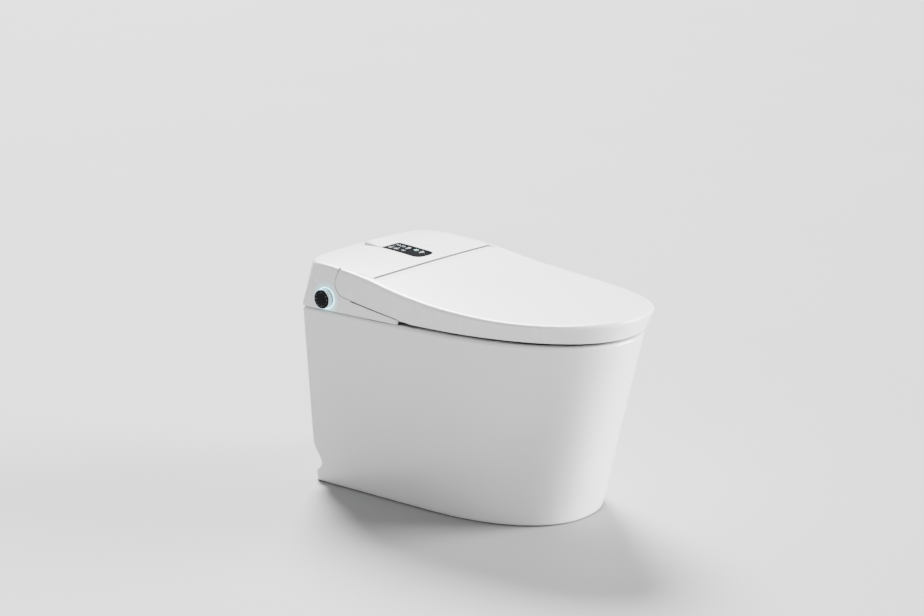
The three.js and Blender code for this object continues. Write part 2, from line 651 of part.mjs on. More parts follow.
// ---------------------------------------------------------------- seat
const seat = group(0, ...SEAT_PIVOT);
const SPLIT = 400;               // the top and bottom halves of the seat meet here
const HEATER_CAVITY = [398, 401.4];
const NECK_HALF = 136;
const SEAT_HOLE_Y = [-226, 72];

const seatPlan = (inset) => plan({
  half: SEAT_HALF - inset, shoulder: 30, tip: SEAT_TIP + inset, power: 2.25, rear: 116 - inset, corner: 12,
}, COARSE);
const seatHole = (grow) => bowlRing(SEAT_HOLE + grow, SEAT_HOLE_Y[0] - grow, SEAT_HOLE_Y[1] + grow);
const seatBody = () => {
  const [y, z] = SEAT_PIVOT;
  const slab = loft([
    ring(seatPlan(4), SEAT_Z0), ring(seatPlan(0), SEAT_Z0 + 4), ring(seatPlan(0), 405),
    ring(seatPlan(4), 411), ring(seatPlan(12), SEAT_Z1),
  ]);
  const neck = [];
  for (let degrees = -90; degrees <= 90; degrees += 15) {
    const a = THREE.MathUtils.degToRad(degrees);
    neck.push([y + 12 * Math.cos(a), z + (a < 0 ? 12.5 : 10) * Math.sin(a)]);
  }
  neck.push([90, SEAT_Z1 - 1], [90, SEAT_Z0]);
  const rim = [[380, 3], [SEAT_Z0, 3], [402, 0], [409, 3], [SEAT_Z1 + 1, 14], [430, 14]];
  const hole = loft(rim.map(([at, grow]) => ring(seatHole(grow), at)));
  return slab.add(plateYZ(neck, -NECK_HALF, NECK_HALF)).subtract(hole);
};
// A flat ring inside the seat, between its outside and its hole.
const seatLayer = (inset, holeGrow, z0, z1) => loft([ring(seatPlan(inset), z0), ring(seatPlan(inset), z1)])
  .subtract(plateXY(seatHole(holeGrow), z0 - 8, z1 + 8));
const seatPinBores = () => join([-NECK_HALF, NECK_HALF]
  .map((x) => cyl(PIN_R + 0.3, 24, 'x', [x, ...SEAT_PIVOT], 16)));
const hollowSeat = seatBody().subtract(seatLayer(8, 8, ...HEATER_CAVITY)).subtract(seatPinBores());
put(seat, 'seat_top', hollowSeat.intersect(box(-FAR, FAR, -FAR, FAR, SPLIT, SKY)), 'white');
put(seat, 'seat_base', hollowSeat.subtract(box(-FAR, FAR, -FAR, FAR, SPLIT - GAP, SKY)), 'inner');
put(seat, 'seat_heater', seatLayer(10, 11, 399, 400.6), 'heater');
for (const [name, x, y] of corners(112, -200, 150, 40)) {
  put(seat, `seat_bumper_${name}`, cyl(8, 4, 'z', [x, y, SEAT_Z0 - 2.4], 14), 'rubber');
}
for (const [name, side] of SIDES) {
  put(seat, `seat_pin_${name}`, cyl(PIN_R, 25.5, 'x', [side * 137, ...SEAT_PIVOT], 16), 'steel');
}

// ---------------------------------------------------------------- knob, its light ring, and the wand
const lightRing = () => turnedOnKnob([[10, 0], [RING_R, 0], [RING_R, 5], [10, 5], [10, 0]], RING_X + 5, 28);
const knobStem = () => cyl(5.7, 30, 'x', [-193, ...KNOB], 16).add(cyl(9, 2, 'x', [-207.4, ...KNOB], 18));
const knobRing = () => {
  const inner = KNOB_R - 1.9;
  return turnedOnKnob([
    [inner, 0], [KNOB_R, 0], [KNOB_R, 7.9], [KNOB_R - 1, 8.7], [inner, 8.7], [inner, 0],
  ], 8.7 - HALF_WIDTH, 32);
};
const knobFace = () => cyl(KNOB_R - 2.2, 4.3, 'x', [2.15 - HALF_WIDTH, ...KNOB], 32);
put(fixed, 'light_ring', lightRing(), 'glow');
put(group(-200, ...KNOB), 'knob_stem', knobStem(), 'satinBlack');
const knob = group(-210, ...KNOB);
put(knob, 'knob_ring', knobRing(), 'silver');
put(knob, 'knob_face', knobFace(), 'black');

const nozzle = group(0, ...NOZZLE_TIP);
put(nozzle, 'nozzle_wand', alongNozzle(wandRod(WAND_R, WAND_LENGTH), 21 + WAND_LENGTH / 2), 'steel');
put(nozzle, 'nozzle_tip', alongNozzle(new THREE.CylinderGeometry(8.4, 6, 20, 16), 10.4), 'white');

export default object;
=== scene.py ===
import json
import math

import bmesh
import bpy
from mathutils import Matrix, Vector


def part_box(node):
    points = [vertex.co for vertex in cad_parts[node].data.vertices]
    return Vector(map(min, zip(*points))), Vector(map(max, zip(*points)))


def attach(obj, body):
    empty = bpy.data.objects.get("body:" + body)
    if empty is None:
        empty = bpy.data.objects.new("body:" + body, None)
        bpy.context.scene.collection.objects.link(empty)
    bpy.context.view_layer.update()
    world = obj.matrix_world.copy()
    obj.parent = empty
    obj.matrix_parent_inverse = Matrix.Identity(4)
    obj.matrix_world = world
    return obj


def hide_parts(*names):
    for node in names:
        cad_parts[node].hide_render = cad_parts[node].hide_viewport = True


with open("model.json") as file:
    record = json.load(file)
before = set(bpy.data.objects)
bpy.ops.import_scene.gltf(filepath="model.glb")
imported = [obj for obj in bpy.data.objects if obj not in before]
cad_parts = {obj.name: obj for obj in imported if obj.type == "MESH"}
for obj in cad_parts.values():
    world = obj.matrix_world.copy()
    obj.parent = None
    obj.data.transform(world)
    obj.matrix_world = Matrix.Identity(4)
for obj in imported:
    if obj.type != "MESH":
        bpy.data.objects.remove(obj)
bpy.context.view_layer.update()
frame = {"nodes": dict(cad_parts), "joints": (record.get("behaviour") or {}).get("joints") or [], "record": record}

# ------------------------------------------------------------------ sizes, from the frame
PAN_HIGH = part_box("ceramic_pan")[1]
LID_LOW, LID_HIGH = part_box("lid_shell")
COVER_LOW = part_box("top_cover")[0]
SEAT_LOW, SEAT_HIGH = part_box("seat_top")
BASE_LOW, BASE_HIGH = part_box("seat_base")
GLASS_LOW, GLASS_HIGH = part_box("display_glass")
POD_LOW, POD_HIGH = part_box("display_pod")
RING_LOW, RING_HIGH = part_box("light_ring")
KNOB_LOW, KNOB_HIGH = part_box("knob_ring")
LINER_LOW, LINER_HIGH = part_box("lid_liner")
JOINT = {j["name"]: j for j in frame["joints"]}


def pivot(name):
    x, y, z = JOINT[name]["pos_m"]
    return Vector((x, y, z))


MM = 0.001
REAR = PAN_HIGH[1]
FRONT = LID_LOW[1]
RIM_Z = PAN_HIGH[2]
HALF_WIDTH = LID_HIGH[0]
LID_BOTTOM = LID_LOW[2]
COVER_BOTTOM = COVER_LOW[2]
LID_PIVOT = pivot("lid_hinge")
SEAT_PIVOT = pivot("seat_hinge")
KNOB_AXIS = pivot("knob_turn")
# Half widths and front tips in plan, of the ceramic's rim and foot and the lid's lower edge.
RIM_HALF = 201.5 * MM
RIM_TIP = -334 * MM
BASE_HALF = 177.6 * MM
BASE_TIP = -240.6 * MM
LID_HALF_BOTTOM = 201.5 * MM
LID_TIP_BOTTOM = -336 * MM

CERAMIC_WALL = 12 * MM
SKIN = 3.2 * MM                 # wall of the lid and cover
BLUNT = 2.25                    # how square the round fronts are in plan; 2 is an ellipse
SHOULDER = 0.04                 # where the lid's round front meets its straight sides, at its lower edge
TOP_SHOULDER = 0.02             # and at its upper edge
TOP_REAR = 0.347                # the top's upper rear edge
TOP_MIDDLE = 0.06               # middle of the top, and where its sides start to draw in
DRAW_IN = 0.018                 # how far they draw in
DRAW_IN_RUN = 0.29              # over this length
EDGE = 6.5 * MM                 # round edge of the lid and cover
RIM_EDGE = 8 * MM               # round edge of the ceramic rim
CROWN = 8 * MM                  # fall of the lid's top from its middle to its sides
CROWN_HALF = 0.205              # over this distance
REAR_CORNER = 45 * MM           # the cover's upper rear corners, rounder than the CAD's
NOSE = Vector((0, 228, 449.3)) * MM   # centre of each lid arm's round end
NOSE_R = 28.8 * MM
ARM_TOE = 58 * MM               # where an arm's lower edge runs out
ARM_INNER_X = 193 * MM
SLOT_Y = 162.6 * MM             # joint between lid and cover, at the arms
SLOT_BOW = 10 * MM
SLOT_GAP = 1.1 * MM             # half the width of that joint
NOSE_GAP = 0.7 * MM             # half the gap round an arm's end
SIDE_GAP = 0.5 * MM             # half the gap along an arm's inner side
SHADE_STRIP_STAND = 0.8 * MM                 # how far the joint's dark strip, painted shade, stands into the gap
BED = 1.1 * MM                  # how far it is let into the cover at the slot
ARM_BED = 2.4 * MM              # and beside the lid's arms
SHADE_STRIP_DEPTH = 5 * MM             # how deep the dark strip goes in from the outside
WING_TOP = 391.5 * MM           # upper edge of the cover's wings, ahead of the arms
PIN_R = 4 * MM                  # the lid's and seat's pins
BETWEEN_ARMS = 189 * MM         # half the width of the lid's hollow between its arms
NECK_HALF = 136 * MM            # half the width of the seat's straight rear
SEAT_CENTRE = (0.0, -0.06)      # in plan; the ring's sections stand round it
KNOB_BOLD = 1.2 * MM            # the visible knob's radius is this much larger than the CAD node's
KNOB_PROUD = 2.2 * MM           # and it stands this much further out
FAR = 0.4                       # beyond the object to every side
UNDER, OVER = 0.3, 0.6          # levels well below and above the lid, cover and seat
BELOW, ABOVE = 0.37, 0.54       # levels a little below and above the lid and cover
DECK_LOW, DECK_HIGH = 0.44, 0.52   # levels on both sides of the cover's top


# ------------------------------------------------------------------ mesh helpers
def new_object(name, bm):
    mesh = bpy.data.meshes.new(name)
    bm.normal_update()
    bm.to_mesh(mesh)
    bm.free()
    obj = bpy.data.objects.new(name, mesh)
    bpy.context.scene.collection.objects.link(obj)
    return obj


def loft(rings):
    """A solid from rings of equal length, counter-clockwise from above, lowest first."""
    bm = bmesh.new()
    rows = [[bm.verts.new(p) for p in points] for points in rings]
    n = len(rows[0])
    for low, high in zip(rows, rows[1:]):
        for i in range(n):
            j = (i + 1) % n
            bm.faces.new((low[i], low[j], high[j], high[i]))
    for row, up in ((rows[0], False), (rows[-1], True)):
        hub = bm.verts.new(sum((v.co for v in row), Vector()) / n)
        for i in range(n):
            j = (i + 1) % n
            bm.faces.new((hub, row[i], row[j]) if up else (hub, row[j], row[i]))
    return new_object("loft", bm)


def prism(outline, low, high, axis="z"):
    """A closed outline, counter-clockwise, drawn out along an axis: (x, y) along z or (y, z) along x."""
    bm = bmesh.new()

    def place(p, h):
        return (p[0], p[1], h) if axis == "z" else (h, p[0], p[1])

    bottom = [bm.verts.new(place(p, low)) for p in outline]
    top = [bm.verts.new(place(p, high)) for p in outline]
    n = len(outline)
    for i in range(n):
        j = (i + 1) % n
        bm.faces.new((bottom[i], bottom[j], top[j], top[i]))
    bm.faces.new(top)
    bm.faces.new(bottom[::-1])
    return new_object("prism", bm)


def block(x0, x1, y0, y1, z0, z1):
    return prism([(x0, y0), (x1, y0), (x1, y1), (x0, y1)], z0, z1)


def slab(half, y0, y1, z0=UNDER, z1=OVER):
    """A block that reaches half to each side of the middle."""
    return block(-half, half, y0, y1, z0, z1)


def rod(radius, x0, x1, y, z, sides=64):
    """A cylinder along X."""
    turn = [2 * math.pi * k / sides for k in range(sides)]
    return prism([(y + radius * math.cos(a), z + radius * math.sin(a)) for a in turn], x0, x1, "x")


def cut(obj, *tools, operation="DIFFERENCE"):
    """obj with the tools cut from it, or what another operation leaves. The tools are used up."""
    for tool in tools:
        step = obj.modifiers.new("step", "BOOLEAN")
        step.operation = operation
        step.solver = "MANIFOLD"
        step.object = tool
        bpy.context.view_layer.update()
        mesh = bpy.data.meshes.new_from_object(obj.evaluated_get(bpy.context.evaluated_depsgraph_get()))
        obj.modifiers.clear()
        old = obj.data
        obj.data = mesh
        bpy.data.meshes.remove(old)
        bpy.data.objects.remove(tool, do_unlink=True)
    return obj


def join(obj, *tools):
    return cut(obj, *tools, operation="UNION")


def common(obj, *tools):
    return cut(obj, *tools, operation="INTERSECT")


def finish_mesh(obj, name, angle=32, merge=2e-5):
    """Cleans the mesh, shades it smooth but for edges sharper than angle, and names it."""
    bm = bmesh.new()
    bm.from_mesh(obj.data)
    bmesh.ops.remove_doubles(bm, verts=bm.verts, dist=merge)
    bmesh.ops.dissolve_degenerate(bm, dist=1e-6, edges=bm.edges)
    limit = math.radians(angle)
    for face in bm.faces:
        face.smooth = True
    for edge in bm.edges:
        edge.smooth = not (edge.is_manifold and edge.calc_face_angle(0) > limit)
    bm.to_mesh(obj.data)
    bm.free()
    obj.name = name
    obj.data.name = name
    return obj


# ------------------------------------------------------------------ outlines and surfaces
def clamp01(t):
    return min(1.0, max(0.0, t))


def smooth(t):
    u = clamp01(t)
    return u * u * (3 - 2 * u)


def lerp(a, b, t):
    return a + (b - a) * t


def power(v, p):
    return math.copysign(abs(v) ** p, v)


def plan(w, ys, tip, n, rear, r, front=120, side=12, corner=8, back=16):
    """Plan outline of half width w: round front from ys to tip, straight sides, rear corners of radius r.

    n is the exponent of the front's superellipse, and the rest are counts of points.
    """
    pts = []
    for k in range(front + 1):
        a = math.pi * k / front
        pts.append((-w * power(math.cos(a), 2 / n), ys - (ys - tip) * abs(math.sin(a)) ** (2 / n)))
    pts += [(w, lerp(ys, rear - r, k / side)) for k in range(1, side + 1)]
    for k in range(1, corner + 1):
        a = math.pi / 2 * k / corner
        pts.append((w - r + r * math.cos(a), rear - r + r * math.sin(a)))
    pts += [((w - r) * (1 - 2 * k / back), rear) for k in range(1, back + 1)]
    for k in range(1, corner + 1):
        a = math.pi / 2 * k / corner
        pts.append((r - w - r * math.sin(a), rear - r + r * math.cos(a)))
    pts += [(-w, lerp(rear - r, ys, k / side)) for k in range(1, side)]
    return pts


def ring(outline, z):
    return [(x, y, z(x, y) if callable(z) else z) for x, y in outline]


def hermite(stations):
    """A smooth function through (t, value) stations, level with the ends outside them."""
    last = len(stations) - 1
    slope = []
    for i in range(last + 1):
        (t0, v0), (t1, v1) = stations[max(i - 1, 0)], stations[min(i + 1, last)]
        slope.append((v1 - v0) / (t1 - t0))

    def value(t):
        t = min(stations[-1][0], max(stations[0][0], t))
        i = 0
        while i < last - 1 and stations[i + 1][0] < t:
            i += 1
        (t0, v0), (t1, v1) = stations[i], stations[i + 1]
        h = t1 - t0
        u = (t - t0) / h
        return ((2 * u**3 - 3 * u**2 + 1) * v0 + (u**3 - 2 * u**2 + u) * h * slope[i]
                + (3 * u**2 - 2 * u**3) * v1 + (u**3 - u**2) * h * slope[i + 1])

    return value


SPINE = hermite([(y * MM, z * MM) for y, z in (
    (-350, 435), (-250, 436.5), (-153, 440), (-94, 444), (15, 454),
    (97, 466), (175, 480), (277, 489.3), (350, 489.3))])


def top_z(x, y):
    """Height of the upper body: a smooth line from tip to wall, falling away to each side."""
    return SPINE(y) - CROWN * (x / CROWN_HALF) ** 2


def top_width(y):
    """Width of the upper body at y, as a share of its full width."""
    return 1 - (DRAW_IN / HALF_WIDTH) * smooth((y - TOP_MIDDLE) / DRAW_IN_RUN)


def head(t=0.0, bottom=0.38):
    """Lid and cover as one solid, moved in by t all round."""
    low = plan(LID_HALF_BOTTOM - t, SHOULDER, LID_TIP_BOTTOM + t, BLUNT, REAR - t, 8 * MM)

    def high(inset, reach=1.0):
        edge = plan(
            HALF_WIDTH - t - inset, TOP_SHOULDER, FRONT + t + inset, BLUNT, TOP_REAR - t - inset, REAR_CORNER)
        return [(x * top_width(y) * reach, TOP_MIDDLE + (y - TOP_MIDDLE) * reach) for x, y in edge]

    base = ring(low, LID_BOTTOM)
    rings = [ring(low, bottom), base]
    sides = ring(high(0), lambda x, y: top_z(x, y) - t - EDGE)
    for k in range(1, 6):
        rings.append([tuple(lerp(a, b, k / 6) for a, b in zip(p, q)) for p, q in zip(base, sides)])
    for k in range(9):
        a = math.pi / 2 * k / 8
        drop = EDGE * (1 - math.sin(a))
        rings.append(ring(high(EDGE * (1 - math.cos(a))), lambda x, y: top_z(x, y) - t - drop))
    for reach in (0.97, 0.92, 0.85, 0.76, 0.66, 0.55, 0.44, 0.33, 0.22, 0.12, 0.05):
        rings.append(ring(high(EDGE, reach), lambda x, y: top_z(x, y) - t))
    return loft(rings)


def slot_radius(x):
    """How far the joint between lid and cover stands from the lid's axis."""
    y = SLOT_Y - SLOT_BOW * (1 - (x / ARM_INNER_X) ** 2)
    return math.hypot(LID_PIVOT.y - y, top_z(x, y) - LID_PIVOT.z)


def lid_middle(grow):
    """The lid's space ahead of the joint: round about the axis above it, upright below it."""
    half = ARM_INNER_X + max(grow, 3 * MM)
    rises = [2.5 * MM * k for k in range(11)]
    steps = 48
    sections = []
    for k in range(steps + 1):
        x = lerp(-half, half, k / steps)
        r = slot_radius(min(ARM_INNER_X, abs(x))) - grow
        front = [(LID_PIVOT.y - math.sqrt(r * r - up * up), LID_PIVOT.z + up) for up in rises]
        outline = [(-FAR, BELOW), (front[0][0], BELOW), *front, (front[-1][0], ABOVE), (-FAR, ABOVE)]
        sections.append([(x, y, z) for y, z in outline])
    return loft(sections)


def arm_side(grow, bottom):
    """A lid arm from the side: its round end, and the top rear corner rounded about the lid's axis."""
    r = NOSE_R + grow
    last = math.asin((LID_PIVOT.z - NOSE.z) / r)
    points = [(-FAR, bottom), (ARM_TOE, bottom)]
    for k in range(73):
        a = lerp(-math.pi / 2, last, k / 72)
        points.append((NOSE.y + r * math.cos(a), NOSE.z + r * math.sin(a)))
    if grow < 0:
        corner = points[-1][0] - LID_PIVOT.y
        for k in range(1, 13):
            a = math.pi / 3 * k / 12
            points.append((LID_PIVOT.y + corner * math.cos(a), LID_PIVOT.z + corner * math.sin(a)))
    return points + [(points[-1][0], ABOVE), (-FAR, ABOVE)]


def lid_zone(side, more, bottom):
    """The space on the lid's side of its joint with the cover.

    Side -1 is the lid's own edge of the joint and 1 is the cover's; more moves it away from the gap.
    """
    outline = arm_side(side * (NOSE_GAP + more), bottom)
    inner = ARM_INNER_X - side * (SIDE_GAP + more)
    arms = [prism(outline, inner, FAR, "x"), prism(outline, -FAR, -inner, "x")]
    return join(lid_middle(side * (SLOT_GAP + more)), *arms)


# ------------------------------------------------------------------ materials
def material(name, colour, rough, metallic=0.0, **sockets):
    """A principled material. Uniform values sit on the shader's own sockets."""
    mat = bpy.data.materials.new(name)
    mat.use_nodes = True
    shader = mat.node_tree.nodes["Principled BSDF"]
    shader.inputs["Base Color"].default_value = (*colour, 1)
    shader.inputs["Roughness"].default_value = rough
    shader.inputs["Metallic"].default_value = metallic
    for key, value in sockets.items():
        shader.inputs[key.replace("_", " ")].default_value = value
    return mat


def node(mat, kind, **values):
    made = mat.node_tree.nodes.new(kind)
    for key, value in values.items():
        if key in made.inputs:
            made.inputs[key].default_value = value
        else:
            setattr(made, key, value)
    return made


def link(mat, source, target):
    mat.node_tree.links.new(source, target)


def shader_of(mat):
    return mat.node_tree.nodes["Principled BSDF"]


def texture(mat, kind, **values):
    """A texture node in the object's own coordinates."""
    made = node(mat, kind, **values)
    place = node(mat, "ShaderNodeTexCoord")
    link(mat, place.outputs["Object"], made.inputs["Vector"])
    return made


def remap(mat, source, target, low, high, start=0.0, end=1.0, **values):
    """Feeds target with low to high as source goes from start to end."""
    span = node(mat, "ShaderNodeMapRange", **values)
    for key, value in zip(("From Min", "From Max", "To Min", "To Max"), (start, end, low, high)):
        span.inputs[key].default_value = value
    link(mat, source, span.inputs["Value"])
    link(mat, span.outputs["Result"], target)


def add_tones(mat, pattern, *stops):
    """The base colour follows a pattern between two stops of (position, colour)."""
    ramp = node(mat, "ShaderNodeValToRGB")
    for element, (position, colour) in zip(ramp.color_ramp.elements, stops):
        element.position = position
        element.color = (*colour, 1)
    link(mat, pattern.outputs["Fac"], ramp.inputs["Fac"])
    link(mat, ramp.outputs["Color"], shader_of(mat).inputs["Base Color"])


def add_mottle(mat, colour, other, scale):
    """The base colour wanders gently between two close tones."""
    noise = texture(mat, "ShaderNodeTexNoise", Scale=scale, Detail=4.0)
    add_tones(mat, noise, (0.35, colour), (0.65, other))


def add_rough(mat, low, high, scale):
    """The roughness wanders between low and high."""
    noise = texture(mat, "ShaderNodeTexNoise", Scale=scale, Detail=5.0)
    remap(mat, noise.outputs["Fac"], shader_of(mat).inputs["Roughness"], low, high)


def add_bump(mat, kind, strength, depth, soften=0.0, **values):
    """Fine relief, over corners rounded by soften."""
    pattern = texture(mat, kind, **values)
    bump = node(mat, "ShaderNodeBump", Strength=strength, Distance=depth)
    link(mat, pattern.outputs["Fac"], bump.inputs["Height"])
    if soften:
        corner = node(mat, "ShaderNodeBevel", samples=6, Radius=soften)
        link(mat, corner.outputs["Normal"], bump.inputs["Normal"])
    link(mat, bump.outputs["Normal"], shader_of(mat).inputs["Normal"])


def add_painted_crease_shade(mat, reach):
    """Paints shade into narrow gaps and inner corners: ambient occlusion darkens the base colour there."""
    paint = shader_of(mat).inputs["Base Color"]
    source = paint.links[0].from_socket
    hollow = node(mat, "ShaderNodeAmbientOcclusion", samples=8, Distance=reach)
    mix = node(mat, "ShaderNodeVectorMath", operation="SCALE")
    link(mat, source, mix.inputs[0])
    remap(mat, hollow.outputs["AO"], mix.inputs["Scale"], 0.03, 1.0, 0.18, 0.5)
    link(mat, mix.outputs["Vector"], paint)


RING_LIGHT = (0.16, 0.8, 1.0)   # the glow painted on the cover round the knob
RING_CORE = (0.32, 0.9, 1.0)    # the lit ring itself


def glaze():
    mat = material(
        "vitreous_glaze", (0.83, 0.83, 0.825), 0.16, IOR=1.52, Coat_Weight=0.35, Coat_Roughness=0.05)
    add_mottle(mat, (0.835, 0.835, 0.83), (0.82, 0.822, 0.82), 5.0)
    add_rough(mat, 0.12, 0.2, 9.0)
    add_bump(mat, "ShaderNodeTexNoise", 0.06, 0.0008, soften=0.0012, Scale=14.0, Detail=2.0)
    # painted shade: the glaze is darkened in gaps and inner corners, as under the lid's edge and where the foot
    # meets the floor
    add_painted_crease_shade(mat, 16 * MM)
    return mat


def moulded_white():
    mat = material(
        "gloss_white_moulding", (0.86, 0.86, 0.86), 0.27, IOR=1.5, Coat_Weight=0.15, Coat_Roughness=0.12)
    add_mottle(mat, (0.862, 0.862, 0.86), (0.857, 0.858, 0.857), 8.0)
    add_rough(mat, 0.255, 0.285, 40.0)
    add_bump(mat, "ShaderNodeTexNoise", 0.012, 0.0001, soften=0.001, Scale=300.0, Detail=2.0)
    # painted shade: the white is darkened in narrow gaps and inner corners, as in the joints round the lid
    add_painted_crease_shade(mat, 12 * MM)
    return mat


def white_by_light():
    """The cover's white, with the ring light's glow painted on it as emission, fading outwards."""
    mat = moulded_white()
    mat.name = "gloss_white_by_ring_light"
    place = node(mat, "ShaderNodeTexCoord")
    away = node(mat, "ShaderNodeVectorMath", operation="DISTANCE")
    away.inputs[1].default_value = (RING_LOW[0], KNOB_AXIS.y, KNOB_AXIS.z)
    link(mat, place.outputs["Object"], away.inputs[0])
    # painted light: the cover glows near the ring, standing in for the ring's light falling on it
    glow = shader_of(mat).inputs["Emission Strength"]
    remap(mat, away.outputs["Value"], glow, 0.9, 0.0, 21 * MM, 38 * MM, interpolation_type="SMOOTHERSTEP")
    shader_of(mat).inputs["Emission Color"].default_value = (*RING_LIGHT, 1)
    return mat


def moulded(name, colour, rough, grain=900.0, relief=0.25):
    """Satin moulding with a fine spark-eroded grain."""
    mat = material(name, colour, rough)
    paler = tuple(min(1.0, c * 1.08 + 0.004) for c in colour)
    add_mottle(mat, colour, paler, 30.0)
    add_rough(mat, rough - 0.06, rough + 0.06, 60.0)
    add_bump(mat, "ShaderNodeTexNoise", relief, 0.0002, soften=0.0006, Scale=grain, Detail=4.0)
    return mat


def metal(name, colour, rough):
    """Drawn or brushed metal, its grain along X."""
    mat = material(name, colour, rough, 1.0)
    place = node(mat, "ShaderNodeTexCoord")
    turn = node(mat, "ShaderNodeMapping")
    turn.inputs["Scale"].default_value = (1, 30, 30)
    noise = node(mat, "ShaderNodeTexNoise", Scale=60.0, Detail=4.0)
    bump = node(mat, "ShaderNodeBump", Strength=0.12, Distance=0.0001)
    link(mat, place.outputs["Object"], turn.inputs["Vector"])
    link(mat, turn.outputs["Vector"], noise.inputs["Vector"])
    remap(mat, noise.outputs["Fac"], shader_of(mat).inputs["Roughness"], rough - 0.08, rough + 0.1)
    link(mat, noise.outputs["Fac"], bump.inputs["Height"])
    link(mat, bump.outputs["Normal"], shader_of(mat).inputs["Normal"])
    return mat


def black_glass():
    mat = material("printed_black_glass", (0.006, 0.006, 0.007), 0.1, IOR=1.3, Specular_IOR_Level=0.22)
    add_mottle(mat, (0.006, 0.006, 0.007), (0.009, 0.0095, 0.01), 40.0)
    add_rough(mat, 0.08, 0.16, 90.0)
    return mat


def knob_black():
    mat = material("knob_black", (0.003, 0.003, 0.003), 0.22, IOR=1.3, Specular_IOR_Level=0.18)
    add_mottle(mat, (0.004, 0.004, 0.005), (0.007, 0.007, 0.008), 60.0)
    add_rough(mat, 0.24, 0.36, 120.0)
    return mat


def lit(name, colour, strength):
    mat = material(name, colour, 0.4, Emission_Color=(*colour, 1), Emission_Strength=strength)
    add_bump(mat, "ShaderNodeTexNoise", 0.05, 0.0001, Scale=300.0, Detail=2.0)
    return mat


def circuit_board():
    mat = material("circuit_board", (0.03, 0.16, 0.07), 0.4)
    grid = texture(mat, "ShaderNodeTexBrick", Scale=180.0)
    grid.inputs["Color1"].default_value = (0.02, 0.13, 0.06, 1)
    grid.inputs["Color2"].default_value = (0.03, 0.17, 0.08, 1)
    grid.inputs["Mortar"].default_value = (0.08, 0.25, 0.12, 1)
    link(mat, grid.outputs["Color"], shader_of(mat).inputs["Base Color"])
    add_rough(mat, 0.3, 0.5, 200.0)
    return mat


def braid():
    mat = material("braided_hose", (0.5, 0.51, 0.52), 0.4, 0.6)
    add_mottle(mat, (0.42, 0.43, 0.44), (0.62, 0.63, 0.64), 700.0)
    add_bump(mat, "ShaderNodeTexWave", 0.7, 0.0006, Scale=260.0, Distortion=2.0)
    return mat


def foil():
    mat = material("heater_foil", (0.74, 0.62, 0.45), 0.35, 0.7)
    wave = texture(mat, "ShaderNodeTexWave", Scale=55.0, Distortion=0.0)
    add_tones(mat, wave, (0.46, (0.75, 0.76, 0.78)), (0.54, (0.6, 0.38, 0.16)))
    add_rough(mat, 0.28, 0.42, 80.0)
    return mat


MATERIALS = {
    "glaze": glaze(),
    "white_plastic": moulded_white(),
    "inner_plastic": moulded("inner_moulding", (0.7, 0.71, 0.71), 0.42),
    "grey_plastic": moulded("grey_moulding", (0.2, 0.205, 0.21), 0.5),
    "dark_plastic": moulded("black_moulding", (0.022, 0.023, 0.025), 0.42),
    "black_glass": black_glass(),
    "black_gloss": knob_black(),
    "silver_trim": metal("satin_silver", (0.78, 0.79, 0.8), 0.24),
    "light_ring": lit("ring_light", RING_CORE, 6.0),
    "circuit_board": circuit_board(),
    "steel": metal("brushed_steel", (0.6, 0.61, 0.62), 0.3),
    "brass": metal("satin_brass", (0.7, 0.52, 0.25), 0.3),
    "hose": braid(),
    "heater_film": foil(),
    "carbon": moulded("carbon_block", (0.02, 0.02, 0.02), 0.8, 260.0, 0.9),
    "rubber": moulded("grey_rubber", (0.42, 0.43, 0.43), 0.75, 500.0, 0.3),
}
LOOKS = {                       # looks of single pieces, finer than the record's slots
    # painted shade: near-black, standing in for the shade deep in the joint between lid and cover
    "dark_strip_painted_shade": moulded("dark_strip_painted_shade", (0.03, 0.031, 0.033), 0.7, 500.0, 0.3),
    "white_by_light": white_by_light(),
    "mark_white": lit("mark_white", (0.72, 0.8, 0.82), 0.35),
    "mark_blue": lit("mark_blue", (0.35, 0.8, 0.84), 0.5),
    "mark_dim": lit("mark_dim", (0.3, 0.34, 0.36), 0.12),
}


def piece(obj, name, slot, body, replaces=(), angle=32, look=None):
    """Finishes a new piece: its name, look and body, and the CAD nodes that it stands for."""
    finish_mesh(obj, name, angle)
    obj.data.materials.clear()
    obj.data.materials.append(LOOKS[look] if look else MATERIALS[slot])
    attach(obj, body)
    if replaces:
        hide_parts(*replaces)
    return obj


# ------------------------------------------------------------------ ceramic pan
# The bowl's height, half width, front and rear, from its sump to above its rim.
BOWL = [(z * MM, w * MM, front * MM, rear * MM) for z, w, front, rear in (
    (148, 16, -62, -30), (160, 38, -88, 0), (205, 60, -115, 30), (255, 92, -185, 52),
    (325, 124, -252, 88), (372, 138, -284, 112), (400, 140, -290, 118))]
BOWL_W = hermite([(s[0], s[1]) for s in BOWL])
BOWL_FRONT = hermite([(s[0], s[2]) for s in BOWL])
BOWL_REAR = hermite([(s[0], s[3]) for s in BOWL])
# The middle of the trapway, from the sump over its weir to the floor.
TRAP = [(0, y * MM, z * MM) for y, z in (
    (-46, 172), (-10, 172), (40, 190), (84, 222), (118, 238), (150, 222),
    (152, 175), (126, 115), (96, 62), (90, 20))]
TRAP_WEB = 6                    # a web closes the trapway after this many of its points
TRAP_R = 27.5 * MM
TRAP_OUTER_R = 38 * MM
BOWL_WALL = 11 * MM
WASTE_Y = 90 * MM
NOZZLE_TIP = Vector((0, 135 * MM, 380.7 * MM))
NOZZLE_WAY = Vector(JOINT["nozzle_slide"]["axis"])


def oval(w, front, rear, points=120):
    """Egg-shaped outline of the bowl and of the seat's opening, widest six tenths of the way back."""
    mid = lerp(front, rear, 0.6)
    exponent = 2.3
    pts = []
    for k in range(points):
        a = 2 * math.pi * k / points
        c, s = math.cos(a), math.sin(a)
        reach = mid - front if s < 0 else rear - mid
        pts.append((w * power(c, 2 / exponent), mid + reach * power(s, 2 / exponent)))
    return pts


